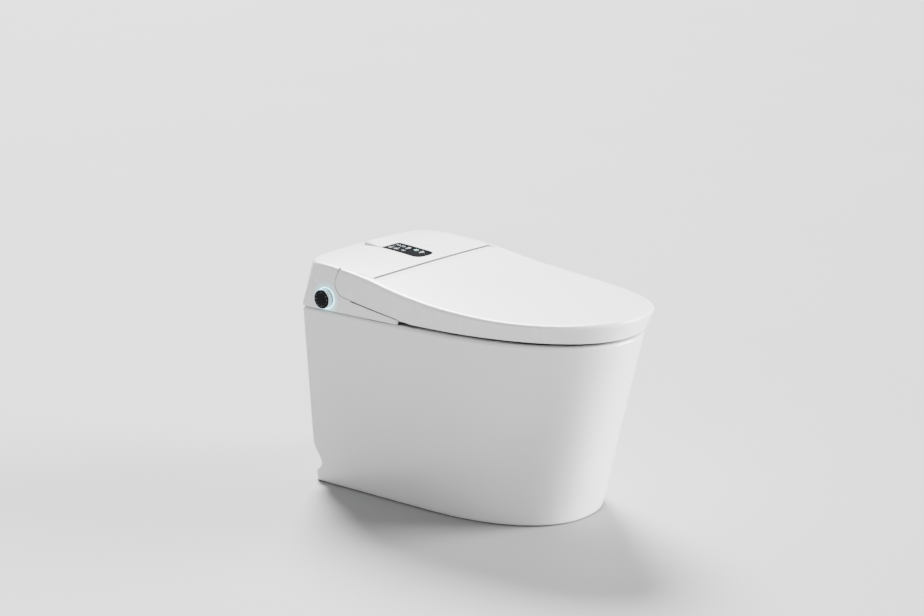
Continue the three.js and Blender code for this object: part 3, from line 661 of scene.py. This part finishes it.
def bowl(t, flare=False):
    """The bowl's cavity, grown by t; flare rounds it over into the rim."""
    rings = []
    for k in range(41):
        z = lerp(BOWL[0][0], BOWL[-1][0], k / 40)
        open_out = 0.0
        if flare and z > RIM_Z - RIM_EDGE:
            rise = clamp01((z - RIM_Z + RIM_EDGE) / RIM_EDGE)
            open_out = RIM_EDGE * (1 - math.sqrt(1 - rise * rise))
        grow = t + open_out
        outline = oval(BOWL_W(z) + grow, BOWL_FRONT(z) - grow, BOWL_REAR(z) + grow)
        rings.append(ring(outline, z - (2 * MM if t else 0)))
    return loft(rings)


def groove(z):
    """How far the rear of the foot is set forward, for the skirting board."""
    if z < 40 * MM:
        return lerp(4 * MM, 19 * MM, smooth((z / MM - 20) / 20))
    return lerp(19 * MM, 0, smooth((z / MM - 40) / 48))


def pan_plan(z, inset=0.0, back=0.0):
    """The pan's outline at height z, moved in by inset all round and by back at the rear."""
    t = clamp01(z / RIM_Z)
    return plan(
        lerp(BASE_HALF, RIM_HALF, t) - inset, lerp(42.6, 40, t) * MM, lerp(BASE_TIP, RIM_TIP, t) + inset,
        lerp(2.3, BLUNT, t), REAR - inset - back, lerp(18, 8, t) * MM)


def smooth_path(points, steps):
    """Points along a Catmull-Rom curve through the given ones."""
    pts = [Vector(p) for p in points]
    pts = [2 * pts[0] - pts[1], *pts, 2 * pts[-1] - pts[-2]]
    out = []
    for a, b, c, d in zip(pts, pts[1:], pts[2:], pts[3:]):
        for k in range(steps):
            t = k / steps
            square = (2 * a - 5 * b + 4 * c - d) * t * t
            cube = (3 * b - a - 3 * c + d) * t**3
            out.append(0.5 * (2 * b + (c - a) * t + square + cube))
    return out + [pts[-2]]


def pipe(points, radius, sides=40, steps=8):
    """A closed tube along a smooth path."""
    path = smooth_path(points, steps)
    rings = []
    side = Vector((1, 0, 0))
    for i, p in enumerate(path):
        along = (path[min(i + 1, len(path) - 1)] - path[max(i - 1, 0)]).normalized()
        side = (side - along * side.dot(along)).normalized()
        up = along.cross(side)
        turn = [2 * math.pi * k / sides for k in range(sides)]
        rings.append([p + radius * (math.cos(a) * side + math.sin(a) * up) for a in turn])
    return loft(rings)


def nozzle_trough():
    """The sloping channel that the wash wand slides in."""
    trough = slab(0.022, -0.095, 0.095, -0.014, 0.046)
    slope = Matrix.Rotation(math.asin(-NOZZLE_WAY.z), 4, "X")
    trough.data.transform(Matrix.Translation(NOZZLE_TIP + NOZZLE_WAY * 0.01) @ slope)
    return cut(trough, slab(0.06, 0.196, FAR, 0, OVER))


def make_pan():
    # Heights, and how far the outline is set in there: the foot's edge, the sides, the rim's edge.
    heights = [(0, 3 * MM), (1.5 * MM, 0.8 * MM), (3 * MM, 0)]
    heights += [(z * MM, 0) for z in (*range(8, 90, 4), *range(95, 370, 25))]
    heights += [
        (RIM_Z - RIM_EDGE * (1 - math.sin(a)), RIM_EDGE * (1 - math.cos(a)))
        for a in (math.pi / 2 * k / 8 for k in range(9))]

    def outer():
        return loft([ring(pan_plan(z, inset, groove(z)), z) for z, inset in heights])

    levels = [-5, 30, 60, 100, 150, 200, 330, 372]
    hollow = loft([ring(pan_plan(z * MM, CERAMIC_WALL, 20 * MM if z < 100 else 0), z * MM) for z in levels])
    bay_walls = slab(0.164, 0.19, 0.346, 0.138, 0.38)
    nozzle_walls = slab(0.034, 0.104, 0.196, 0.336, 0.38)
    inside = join(bowl(BOWL_WALL), pipe([*TRAP, (0, WASTE_Y, 0)], TRAP_OUTER_R), bay_walls, nozzle_walls)
    pan = join(cut(outer(), hollow), common(inside, outer()))
    bay = slab(0.152, 0.202, 0.338, 0.15, 0.4)
    rear_opening = slab(0.07, 0.33, 0.36, 0.18, 0.33)
    below_floor = slab(FAR, -FAR, FAR, -0.06, 0)
    rise = pipe(TRAP[:TRAP_WEB], TRAP_R)
    fall = pipe([*TRAP[TRAP_WEB:], (0, WASTE_Y, -0.012)], TRAP_R)
    pan = cut(pan, bowl(0, flare=True), rise, fall, bay, rear_opening, nozzle_trough(), below_floor)
    return piece(pan, "pan_glazed", "glaze", "pan", ["ceramic_pan"])


# ------------------------------------------------------------------ cover and display
def display_outline(t=0.0):
    """Square at the rear, well rounded at the front."""
    return plan(GLASS_HIGH[0] + t, 0.195, GLASS_LOW[1] - t, 2.6, GLASS_HIGH[1] + t, 1.5 * MM, 48, 6, 4, 6)


def lid_bores(radius, x0, x1):
    """The bores for the lid's two pins."""
    return [rod(radius, *ends, LID_PIVOT.y, LID_PIVOT.z) for ends in ((x0, x1), (-x1, -x0))]


def slot_run():
    """Where the joint's dark strip runs between the lid's arms."""
    return slab(ARM_INNER_X - MM, 0.1, 0.2, DECK_LOW, 0.5)


def arm_run(rear, top):
    """Where it runs beside the arms, up to rear and top."""
    return slab(FAR, 0.05, rear, 0.38, top)


def shade_strip_bed():
    """The rebate in the cover that the dark strip lies in."""
    edge = join(
        common(lid_zone(1, BED, WING_TOP), slot_run()),
        common(lid_zone(1, ARM_BED, WING_TOP), arm_run(0.215, 0.425)))
    return cut(common(edge, head(-MM, COVER_BOTTOM)), head(SHADE_STRIP_DEPTH, 0.36))


def front_openings():
    """What is cut from the cover's front wall; x0, x1, z0 and z1 of each opening."""
    wand = (-22, 22, 380, 424)
    warm_air = (39, 81, 390.5, 411)
    deodoriser = (-82, -38, 394, 409)
    brackets = [(-152, -138, 380, 396), (138, 152, 380, 396)]
    return [block(x0 * MM, x1 * MM, 0.14, 0.182, z0 * MM, z1 * MM)
            for x0, x1, z0, z1 in (wand, warm_air, deodoriser, *brackets)]


def make_cover():
    shell = cut(common(head(0, COVER_BOTTOM), slab(FAR, 93 * MM, 0.5)), lid_zone(1, 0, WING_TOP))
    inner = cut(common(head(SKIN, BELOW), slab(FAR, 0.17, 0.5)), lid_zone(1, SKIN, 0.386))
    wing_ends = slab(FAR, 0.09, 0.094, 0.38, 0.4)
    glass_seat = prism(display_outline(0.4 * MM), DECK_LOW, DECK_HIGH)
    ring_seat = rod(24.4 * MM, -0.212, -0.188, KNOB_AXIS.y, KNOB_AXIS.z, 96)
    cover = cut(
        shell, inner, wing_ends, glass_seat, ring_seat, *front_openings(),
        *lid_bores(PIN_R + 0.5 * MM, 0.175, 0.205), shade_strip_bed())
    return piece(cover, "cover_moulding", "white_plastic", "pan", ["top_cover"], look="white_by_light")


def make_shade_strip():
    """A dark soft strip along the cover's edge of its joint with the lid; its near-black colour is painted shade
    for the deep joint.
    """
    strip = cut(join(lid_zone(1, 0, WING_TOP), shade_strip_bed()), lid_zone(1, -SHADE_STRIP_STAND, BELOW))
    run = join(slot_run(), arm_run(0.26, NOSE.z))
    strip = cut(common(strip, head(0.3 * MM, COVER_BOTTOM), run), head(SHADE_STRIP_DEPTH, 0.36))
    return piece(strip, "joint_shade_strip", "rubber", "pan", look="dark_strip_painted_shade")


def make_display():
    thickness = 3 * MM
    glass = cut(common(prism(display_outline(), DECK_LOW, DECK_HIGH), head(0)), head(thickness))
    return piece(glass, "display_black_glass", "black_glass", "pan", ["display_glass"])


def make_pod():
    """The wedge behind the display: level with it at the front, standing proud at the rear."""
    y0, y1 = POD_LOW[1], POD_HIGH[1]
    z1 = POD_HIGH[2]
    front_z, under_z = 489.9 * MM, 470 * MM
    soft = 5 * MM
    top = [(y0, front_z)]
    for k in range(13):
        a = math.pi / 2 * (1 - k / 12)
        top.append((y1 - soft + soft * math.cos(a), z1 - soft + soft * math.sin(a)))
    side = [(y0, under_z), (y1 - 2 * MM, under_z), *reversed(top)]
    wedge = prism(side, POD_LOW[0], POD_HIGH[0], "x")
    in_cover = common(head(0), slab(0.06, 0.1, FAR, DECK_LOW, DECK_HIGH))
    wedge = cut(wedge, in_cover, slab(0.06, 0.2, FAR, DECK_LOW, front_z - 0.3 * MM))
    return piece(wedge, "display_wedge", "white_plastic", "pan", ["display_pod"])


# ------------------------------------------------------------------ lid
def slot_dip(reach, depth):
    """What is cut from the lid's top so that it runs down a little to its joint with the cover."""
    sections = []
    steps = 48
    for k in range(steps + 1):
        x = lerp(0.6 * MM - ARM_INNER_X, ARM_INNER_X - 0.6 * MM, k / steps)
        y1 = SLOT_Y - SLOT_BOW * (1 - (x / ARM_INNER_X) ** 2) + MM
        y0 = y1 - reach
        side = [(y, top_z(x, y) - depth * smooth((y - y0) / reach)) for y in
                (lerp(y0, y1, i / 10) for i in range(11))]
        side += [(y1, DECK_HIGH), (y0, DECK_HIGH)]
        sections.append([(x, y, z) for y, z in side])
    return loft(sections)


def make_lid():
    whole = common(head(0, LID_BOTTOM), lid_zone(-1, 0, LID_BOTTOM))
    front = common(head(SKIN, BELOW), slab(FAR, -FAR, 0.048))
    middle = common(head(SKIN, BELOW), lid_zone(-1, SKIN, 0.38), slab(BETWEEN_ARMS, -FAR, FAR))
    cover_room = slab(BETWEEN_ARMS, 0.1, 0.2, 0.38, 0.417)
    shell = cut(
        whole, front, middle, slot_dip(24 * MM, 2.4 * MM), cover_room,
        *lid_bores(PIN_R + 0.3 * MM, 0.182, 0.1995))
    return piece(shell, "lid_moulding", "white_plastic", "lid", ["lid_shell"])


def make_liner():
    inset = SKIN + 2.5 * MM
    outline = plan(LID_HALF_BOTTOM - inset, SHOULDER, LID_TIP_BOTTOM + inset, BLUNT, 0.23, 4 * MM)

    def panel(*spaces):
        return common(prism(outline, LINER_LOW[2], LINER_HIGH[2]), *spaces)

    front = panel(slab(FAR, -FAR, 0.046))
    rear = panel(slab(BETWEEN_ARMS - 2 * MM, 0.044, FAR), lid_zone(-1, SKIN + 4 * MM, 0.38))
    plate = join(front, rear)
    return piece(plate, "lid_inner_panel", "inner_plastic", "lid", ["lid_liner"])


# ------------------------------------------------------------------ seat
def reach_of(outline, centre):
    """Distance from centre to a star-shaped outline, as a function of the angle."""
    polar = sorted((math.atan2(y - centre[1], x - centre[0]), math.hypot(x - centre[0], y - centre[1]))
                   for x, y in outline)
    polar = [(polar[-1][0] - 2 * math.pi, polar[-1][1]), *polar, (polar[0][0] + 2 * math.pi, polar[0][1])]

    def reach(angle):
        low, high = 0, len(polar) - 1
        while high - low > 1:
            mid = (low + high) // 2
            low, high = (mid, high) if polar[mid][0] <= angle else (low, mid)
        (a0, r0), (a1, r1) = polar[low], polar[high]
        return lerp(r0, r1, (angle - a0) / (a1 - a0)) if a1 > a0 else r0

    return reach


def seat_ring(stations=200):
    """The whole ring, softly rounded outside and sloping into its opening."""
    bottom, top = BASE_LOW[2], SEAT_HIGH[2]
    foot = 4 * MM                                   # round lower outer edge
    brow, brow_z = 12 * MM, 404 * MM                # wide round from the side to the top
    slope, slope_z = 14 * MM, 402 * MM              # and from the top into the opening
    outline = plan(SEAT_HIGH[0], 30 * MM, SEAT_LOW[1], BLUNT, 116 * MM, 12 * MM, 240, 24, 12, 40)
    outer = reach_of(outline, SEAT_CENTRE)
    inner = reach_of(oval(104 * MM, -226 * MM, 72 * MM, 240), SEAT_CENTRE)
    arc = [math.pi / 2 * k / 8 for k in range(9)]
    rows = []
    for k in range(stations):
        angle = -math.pi + 2 * math.pi * (k + 0.5) / stations
        ro, ri = outer(angle), inner(angle)
        section = [(ro - foot * (1 - math.sin(a)), bottom + foot * (1 - math.cos(a))) for a in arc]
        section += [(ro - brow * (1 - math.cos(a)), brow_z + (top - brow_z) * math.sin(a)) for a in arc]
        section += [(lerp(ro - brow, ri + slope, t), top) for t in (0.25, 0.5, 0.75)]
        section += [(ri + slope * (1 - math.sin(a)), slope_z + (top - slope_z) * math.cos(a)) for a in arc]
        section += [(ri + 3 * MM, bottom), (lerp(ri, ro, 0.5), bottom)]
        east, north = math.cos(angle), math.sin(angle)
        rows.append([(SEAT_CENTRE[0] + r * east, SEAT_CENTRE[1] + r * north, z) for r, z in section])
    bm = bmesh.new()
    verts = [[bm.verts.new(p) for p in row] for row in rows]
    for row, after in zip(verts, verts[1:] + verts[:1]):
        for i in range(len(row)):
            j = (i + 1) % len(row)
            bm.faces.new((row[i], after[i], after[j], row[j]))
    bmesh.ops.recalc_face_normals(bm, faces=bm.faces)
    return new_object("seat", bm)


def seat_neck():
    """The straight rear of the seat, round about its pins."""
    y0 = 90 * MM
    side = []
    for k in range(25):
        a = math.radians(-90 + 7.5 * k)
        tall = 12.5 * MM if a < 0 else 10 * MM
        side.append((SEAT_PIVOT.y + 12 * MM * math.cos(a), SEAT_PIVOT.z + tall * math.sin(a)))
    side += [(y0, SEAT_HIGH[2] - MM), (y0, BASE_LOW[2])]
    return prism(side, -NECK_HALF, NECK_HALF, "x")


def make_seat():
    # Height, and how far the opening is wider there than at its narrowest.
    opening = [(380, 3), (391, 3), (402, 0), (409, 3), (414.5, 14), (430, 14)]

    def whole():
        hole = loft([
            ring(oval((104 + d) * MM, (-226 - d) * MM, (72 + d) * MM), z * MM) for z, d in opening])
        bores = [rod(PIN_R + 0.3 * MM, x - 0.012, x + 0.012, SEAT_PIVOT.y, SEAT_PIVOT.z)
                 for x in (-NECK_HALF, NECK_HALF)]
        return cut(join(seat_ring(), seat_neck()), hole, *bores)

    upper = common(whole(), slab(FAR, -FAR, FAR, SEAT_LOW[2], 0.5))
    lower = common(whole(), slab(FAR, -FAR, FAR, UNDER, BASE_HIGH[2]))
    piece(upper, "seat_moulding", "white_plastic", "seat", ["seat_top", "seat_heater"])
    piece(lower, "seat_underside", "inner_plastic", "seat", ["seat_base"])


# ------------------------------------------------------------------ small round parts
def turned(profile, sides=64):
    """A closed solid turned about +Z from (radius, height) points, which start and end on the axis."""
    bm = bmesh.new()
    low = bm.verts.new((0, 0, profile[0][1]))
    high = bm.verts.new((0, 0, profile[-1][1]))
    rows = []
    for r, h in profile[1:-1]:
        turn = [2 * math.pi * k / sides for k in range(sides)]
        rows.append([bm.verts.new((r * math.cos(a), r * math.sin(a), h)) for a in turn])
    for i in range(sides):
        j = (i + 1) % sides
        bm.faces.new((low, rows[0][j], rows[0][i]))
        bm.faces.new((high, rows[-1][i], rows[-1][j]))
        for a, b in zip(rows, rows[1:]):
            bm.faces.new((a[i], a[j], b[j], b[i]))
    return new_object("turned", bm)


def aim(obj, origin, along):
    """Turns the object's +Z towards along and moves it to origin, in its mesh."""
    turn = Vector(along).to_track_quat("Z", "Y").to_matrix().to_4x4()
    obj.data.transform(Matrix.Translation(Vector(origin)) @ turn)
    return obj


def make_pucks():
    """The rubber bumpers of lid and seat."""
    for name in frame["nodes"]:
        if "bumper" not in name:
            continue
        low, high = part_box(name)
        r, h = (high[1] - low[1]) / 2, high[2] - low[2]
        e = 0.25 * h
        profile = [
            (0, 0), (r - e, 0), (r - 0.3 * e, 0.3 * e), (r, e),
            (r, h - e), (r - 0.3 * e, h - 0.3 * e), (r - e, h), (0, h)]
        body = "lid" if name.startswith("lid") else "seat"
        puck = aim(turned(profile, 40), ((low[0] + high[0]) / 2, (low[1] + high[1]) / 2, low[2]), (0, 0, 1))
        piece(puck, name + "_pad", "rubber", body, [name])


def make_knob():
    """A silver sleeve with a black face of fine rings, standing in a lit ring."""
    out = (-1, 0, 0)
    radius = (KNOB_HIGH[1] - KNOB_LOW[1]) / 2 + KNOB_BOLD
    base, tip = -KNOB_HIGH[0], KNOB_PROUD - KNOB_LOW[0]
    centre = (0, KNOB_AXIS.y, KNOB_AXIS.z)
    sleeve = [
        (0, base), (radius - 0.6 * MM, base), (radius, base + 0.6 * MM),
        (radius, tip - 1.6 * MM), (radius - 0.3 * MM, tip - 1.2 * MM), (0, tip - 1.2 * MM)]
    piece(aim(turned(sleeve, 128), centre, out), "knob_sleeve", "silver_trim", "knob", ["knob_ring"])
    r = radius - 0.4 * MM
    face = [
        (0, tip - 1.15 * MM), (r - 0.2 * MM, tip - 1.15 * MM),
        (r, tip - 0.9 * MM), (r, tip - 0.35 * MM), (r - 0.5 * MM, tip)]
    for groove_at in (0.86, 0.62, 0.42, 0.24):
        g = r * groove_at
        face += [(g + 0.35 * MM, tip), (g, tip - 0.45 * MM), (g - 0.35 * MM, tip)]
    face += [(0, tip)]
    piece(aim(turned(face, 128), centre, out), "knob_dial", "black_gloss", "knob", ["knob_face"], 20)
    make_knob_marks(-tip - 0.05 * MM, 0.74 * r)


def make_knob_marks(x, r):
    """Twelve dots round the knob's face, every third one larger."""
    marks = bmesh.new()
    round_once = [2 * math.pi * i / 16 for i in range(16)]
    for k in range(12):
        a = math.radians(30 * k)
        size = 0.55 * MM if k % 3 else 0.9 * MM
        y = KNOB_AXIS.y + r * math.cos(a)
        z = KNOB_AXIS.z + r * math.sin(a)
        dot = [marks.verts.new((x, y + size * math.cos(q), z + size * math.sin(q))) for q in round_once]
        marks.faces.new(dot[::-1])
    # painted light: the dots take the dim lit look, a faint glow though they are no lamp
    piece(new_object("marks", marks), "knob_marks", "silver_trim", "knob", look="mark_dim")


def washer(inner, outer, base, tip, sides=128, soft=0.3 * MM):
    """A flat ring turned about +Z with softened corners."""
    section = [
        (inner, base), (outer, base), (outer, tip - soft),
        (outer - soft, tip), (inner + soft, tip), (inner, tip - soft)]
    bm = bmesh.new()
    turn = [2 * math.pi * k / sides for k in range(sides)]
    rows = [[bm.verts.new((r * math.cos(a), r * math.sin(a), h)) for r, h in section] for a in turn]
    for row, after in zip(rows, rows[1:] + rows[:1]):
        for i in range(len(section)):
            j = (i + 1) % len(section)
            bm.faces.new((row[i], row[j], after[j], after[i]))
    bmesh.ops.recalc_face_normals(bm, faces=bm.faces)
    return new_object("washer", bm)


def make_light_ring():
    centre = (0, KNOB_AXIS.y, KNOB_AXIS.z)
    outer = (RING_HIGH[1] - RING_LOW[1]) / 2
    base, tip = -RING_HIGH[0], -RING_LOW[0]
    glow = aim(washer(outer - 2.9 * MM, outer - 0.7 * MM, base, tip), centre, (-1, 0, 0))
    piece(glow, "knob_light_ring", "light_ring", "pan", ["light_ring"])
    for name, inside, outside in (("collar", 10 * MM, outer - 3.0 * MM), ("bezel", outer - 0.6 * MM, outer)):
        trim = aim(washer(inside, outside, base, tip - 0.2 * MM, soft=0.2 * MM), centre, (-1, 0, 0))
        piece(trim, "knob_" + name, "white_plastic", "pan")


def make_nozzle():
    """The wash wand, and its white tip with three jets on its upper side."""
    back = -NOZZLE_WAY
    soft = 0.6 * MM
    r, start, end = 8 * MM, 21 * MM, 143 * MM
    wand = [(0, start), (r - soft, start), (r, start + soft), (r, end - soft), (r - soft, end), (0, end)]
    piece(aim(turned(wand), NOZZLE_TIP, back), "wash_wand", "steel", "nozzle", ["nozzle_wand"])
    tip = [(0, 0.4 * MM)]
    for k in range(1, 9):
        a = math.pi / 2 * k / 8
        tip.append((8.2 * MM * math.sin(a), 0.4 * MM + 5 * MM * (1 - math.cos(a))))
    r, end = 8.4 * MM, 20.4 * MM
    tip += [(r, end - soft), (r - soft, end), (0, end)]
    head_piece = aim(turned(tip), NOZZLE_TIP, back)
    up = Vector((0, NOZZLE_WAY.z, -NOZZLE_WAY.y))
    low, high = 4 * MM, 20 * MM
    for along, r in ((7, 0.7), (11.5, 1.1), (16, 0.7)):
        jet = turned([(0, low), (r * MM, low), (r * MM, high), (0, high)], 20)
        head_piece = cut(head_piece, aim(jet, NOZZLE_TIP + back * along * MM, up))
    piece(head_piece, "wash_tip", "white_plastic", "nozzle", ["nozzle_tip"])


def make_flap():
    """The warm-air door: a thin curved blade on a round pin."""
    low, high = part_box("dryer_flap")
    pin = pivot("flap_hinge")
    r = 1.95 * MM
    side = [(pin.y + MM, low[2]), (pin.y + MM, pin.z - 1.5 * MM)]
    for k in range(13):
        a = math.radians(-30 + 20 * k)
        side.append((pin.y + r * math.cos(a), pin.z + r * math.sin(a)))
    side += [(pin.y - MM, pin.z - 1.5 * MM), (pin.y - MM, low[2] + 0.5 * MM), (pin.y - 0.5 * MM, low[2])]
    piece(prism(side, low[0], high[0], "x"), "warm_air_door", "white_plastic", "dryer_flap", ["dryer_flap"])


# ------------------------------------------------------------------ marks on the display
def on_glass(x, y):
    """The point just above the display's glass at x, y."""
    return (x, y, top_z(x, y) + 0.12 * MM)


def flat_mark(bm, outline):
    bm.faces.new([bm.verts.new(on_glass(x, y)) for x, y in outline])


def mark_ring(bm, x, y, r, width, start=0, end=360, steps=28):
    turn = [math.radians(lerp(start, end, k / steps)) for k in range(steps + 1)]
    rows = [
        [bm.verts.new(on_glass(x + q * math.cos(a), y + q * math.sin(a))) for q in (r - width, r)]
        for a in turn]
    for a, b in zip(rows, rows[1:]):
        bm.faces.new((a[0], a[1], b[1], b[0]))


def mark_bar(bm, x, y, long, wide, angle=0):
    c, s = math.cos(math.radians(angle)), math.sin(math.radians(angle))
    corners = ((-long, -wide), (long, -wide), (long, wide), (-long, wide))
    flat_mark(bm, [(x + (a * c - b * s) / 2, y + (a * s + b * c) / 2) for a, b in corners])


def mark_drop(bm, x, y, size):
    pts = [(x, y + 1.5 * size)]
    for a in (math.radians(degrees) for degrees in range(150, 391, 20)):
        pts.append((x + size * math.cos(a), y + size * math.sin(a)))
    flat_mark(bm, pts)


def make_marks():
    """Generic symbols: temperature rings, drops, bars and dots."""
    white, blue, dim = bmesh.new(), bmesh.new(), bmesh.new()
    rear = GLASS_HIGH[1]
    for k in range(4):
        y = rear - (10 + 6.5 * k) * MM
        mark_bar(white, 13 * MM, y, 4 * MM, 1.2 * MM)
        mark_bar(dim, 7 * MM, y, 2.4 * MM, 1 * MM)
    for k in range(2):
        y = rear - (12 + 15 * k) * MM
        mark_ring(dim, -13 * MM, y, 4.6 * MM, 0.8 * MM)
        mark_drop(white, -13 * MM, y - MM, 1.3 * MM)
        mark_bar(dim, -3 * MM, y, 5 * MM, 0.9 * MM, 60)
    mark_ring(white, 12.5 * MM, rear - 42 * MM, 3.2 * MM, 1.4 * MM)
    mark_ring(dim, 4.5 * MM, rear - 42 * MM, 3 * MM, 0.9 * MM)
    mark_ring(dim, -11 * MM, rear - 46 * MM, 4 * MM, 0.8 * MM, 40, 320)
    mark_bar(white, -11 * MM, rear - 46 * MM, 3 * MM, MM)
    for k in range(3):
        mark_bar(blue, (8.5 + 3 * k) * MM, rear - 60 * MM, 1.6 * MM, 5.4 * MM)
    mark_ring(blue, 11.5 * MM, rear - 60 * MM, 6.2 * MM, 0.8 * MM, 200, 340)
    mark_ring(white, 12 * MM, rear - 78 * MM, 3.6 * MM, MM)
    mark_bar(dim, 4 * MM, rear - 78 * MM, 5 * MM, 2 * MM)
    for bm, name in ((white, "white"), (blue, "blue"), (dim, "dim")):
        piece(new_object(name, bm), "display_marks_" + name, "light_ring", "pan", look="mark_" + name)


# ------------------------------------------------------------------ CAD nodes that stay
def dress_nodes():
    """Every CAD node gets its material, and its box edges a small round."""
    slot_of = {s["node"]: s["material_slot"] for s in frame["record"]["subparts"]}
    for name, obj in frame["nodes"].items():
        obj.data.materials.clear()
        obj.data.materials.append(MATERIALS[slot_of[name]])
        for face in obj.data.polygons:
            face.material_index = 0
        soft = obj.modifiers.new("soft", "BEVEL")
        soft.width = 0.5 * MM
        soft.segments = 2
        soft.limit_method = "ANGLE"
        soft.angle_limit = math.radians(50)


# ------------------------------------------------------------------ stage
FLOOR_REACH = 30.0
FLOOR_GAP = 0.5 * MM            # between the floor and the foot, so that their faces don't coincide
SKY_LIGHT = 0.12
CAMERA_AT = (-3.1089, -2.3409, 1.4098)
YAW, PITCH = 52.029, 14.605     # degrees from the front towards the knob's side, and down
LENS = 76.715                   # on a sensor 36 wide
LAMPS = (                       # name, where it shines from, softness in degrees, strength
    ("overhead", (1.9, 2.2, 3.0), 24, 16.0),
    ("right", (2.5, -2.5, 1.1), 34, 15.5),
    ("fill", (-2.2, -1.6, 2.7), 60, 1.4))


def make_stage():
    floor = slab(FLOOR_REACH, -FLOOR_REACH, FLOOR_REACH, -20 * MM, -FLOOR_GAP)
    floor.name = "floor"
    mat = material("pale_floor", (0.33, 0.33, 0.332), 0.7)
    add_mottle(mat, (0.33, 0.33, 0.332), (0.322, 0.322, 0.325), 1.2)
    floor.data.materials.append(mat)
    world = bpy.data.worlds.new("studio")
    world.use_nodes = True
    background = world.node_tree.nodes["Background"]
    background.inputs["Color"].default_value = (0.92, 0.94, 0.96, 1)
    background.inputs["Strength"].default_value = SKY_LIGHT
    bpy.context.scene.world = world
    for name, place, softness, strength in LAMPS:
        lamp = bpy.data.lights.new(name, "SUN")
        lamp.angle = math.radians(softness)
        lamp.energy = strength
        obj = bpy.data.objects.new(name, lamp)
        obj.location = place
        obj.rotation_euler = (-Vector(place)).to_track_quat("-Z", "Y").to_euler()
        bpy.context.scene.collection.objects.link(obj)


def make_camera():
    data = bpy.data.cameras.new("camera")
    data.lens = LENS
    data.sensor_width = 36
    yaw, pitch = math.radians(YAW), math.radians(PITCH)
    ahead = Vector((math.sin(yaw) * math.cos(pitch), math.cos(yaw) * math.cos(pitch), -math.sin(pitch)))
    camera = bpy.data.objects.new("camera", data)
    camera.location = CAMERA_AT
    camera.rotation_euler = ahead.to_track_quat("-Z", "Y").to_euler()
    bpy.context.scene.collection.objects.link(camera)
    bpy.context.scene.camera = camera


dress_nodes()
make_pan()
make_cover()
make_shade_strip()
make_display()
make_pod()
make_lid()
make_liner()
make_seat()
make_pucks()
make_knob()
make_light_ring()
make_nozzle()
make_flap()
make_marks()
make_stage()
make_camera()
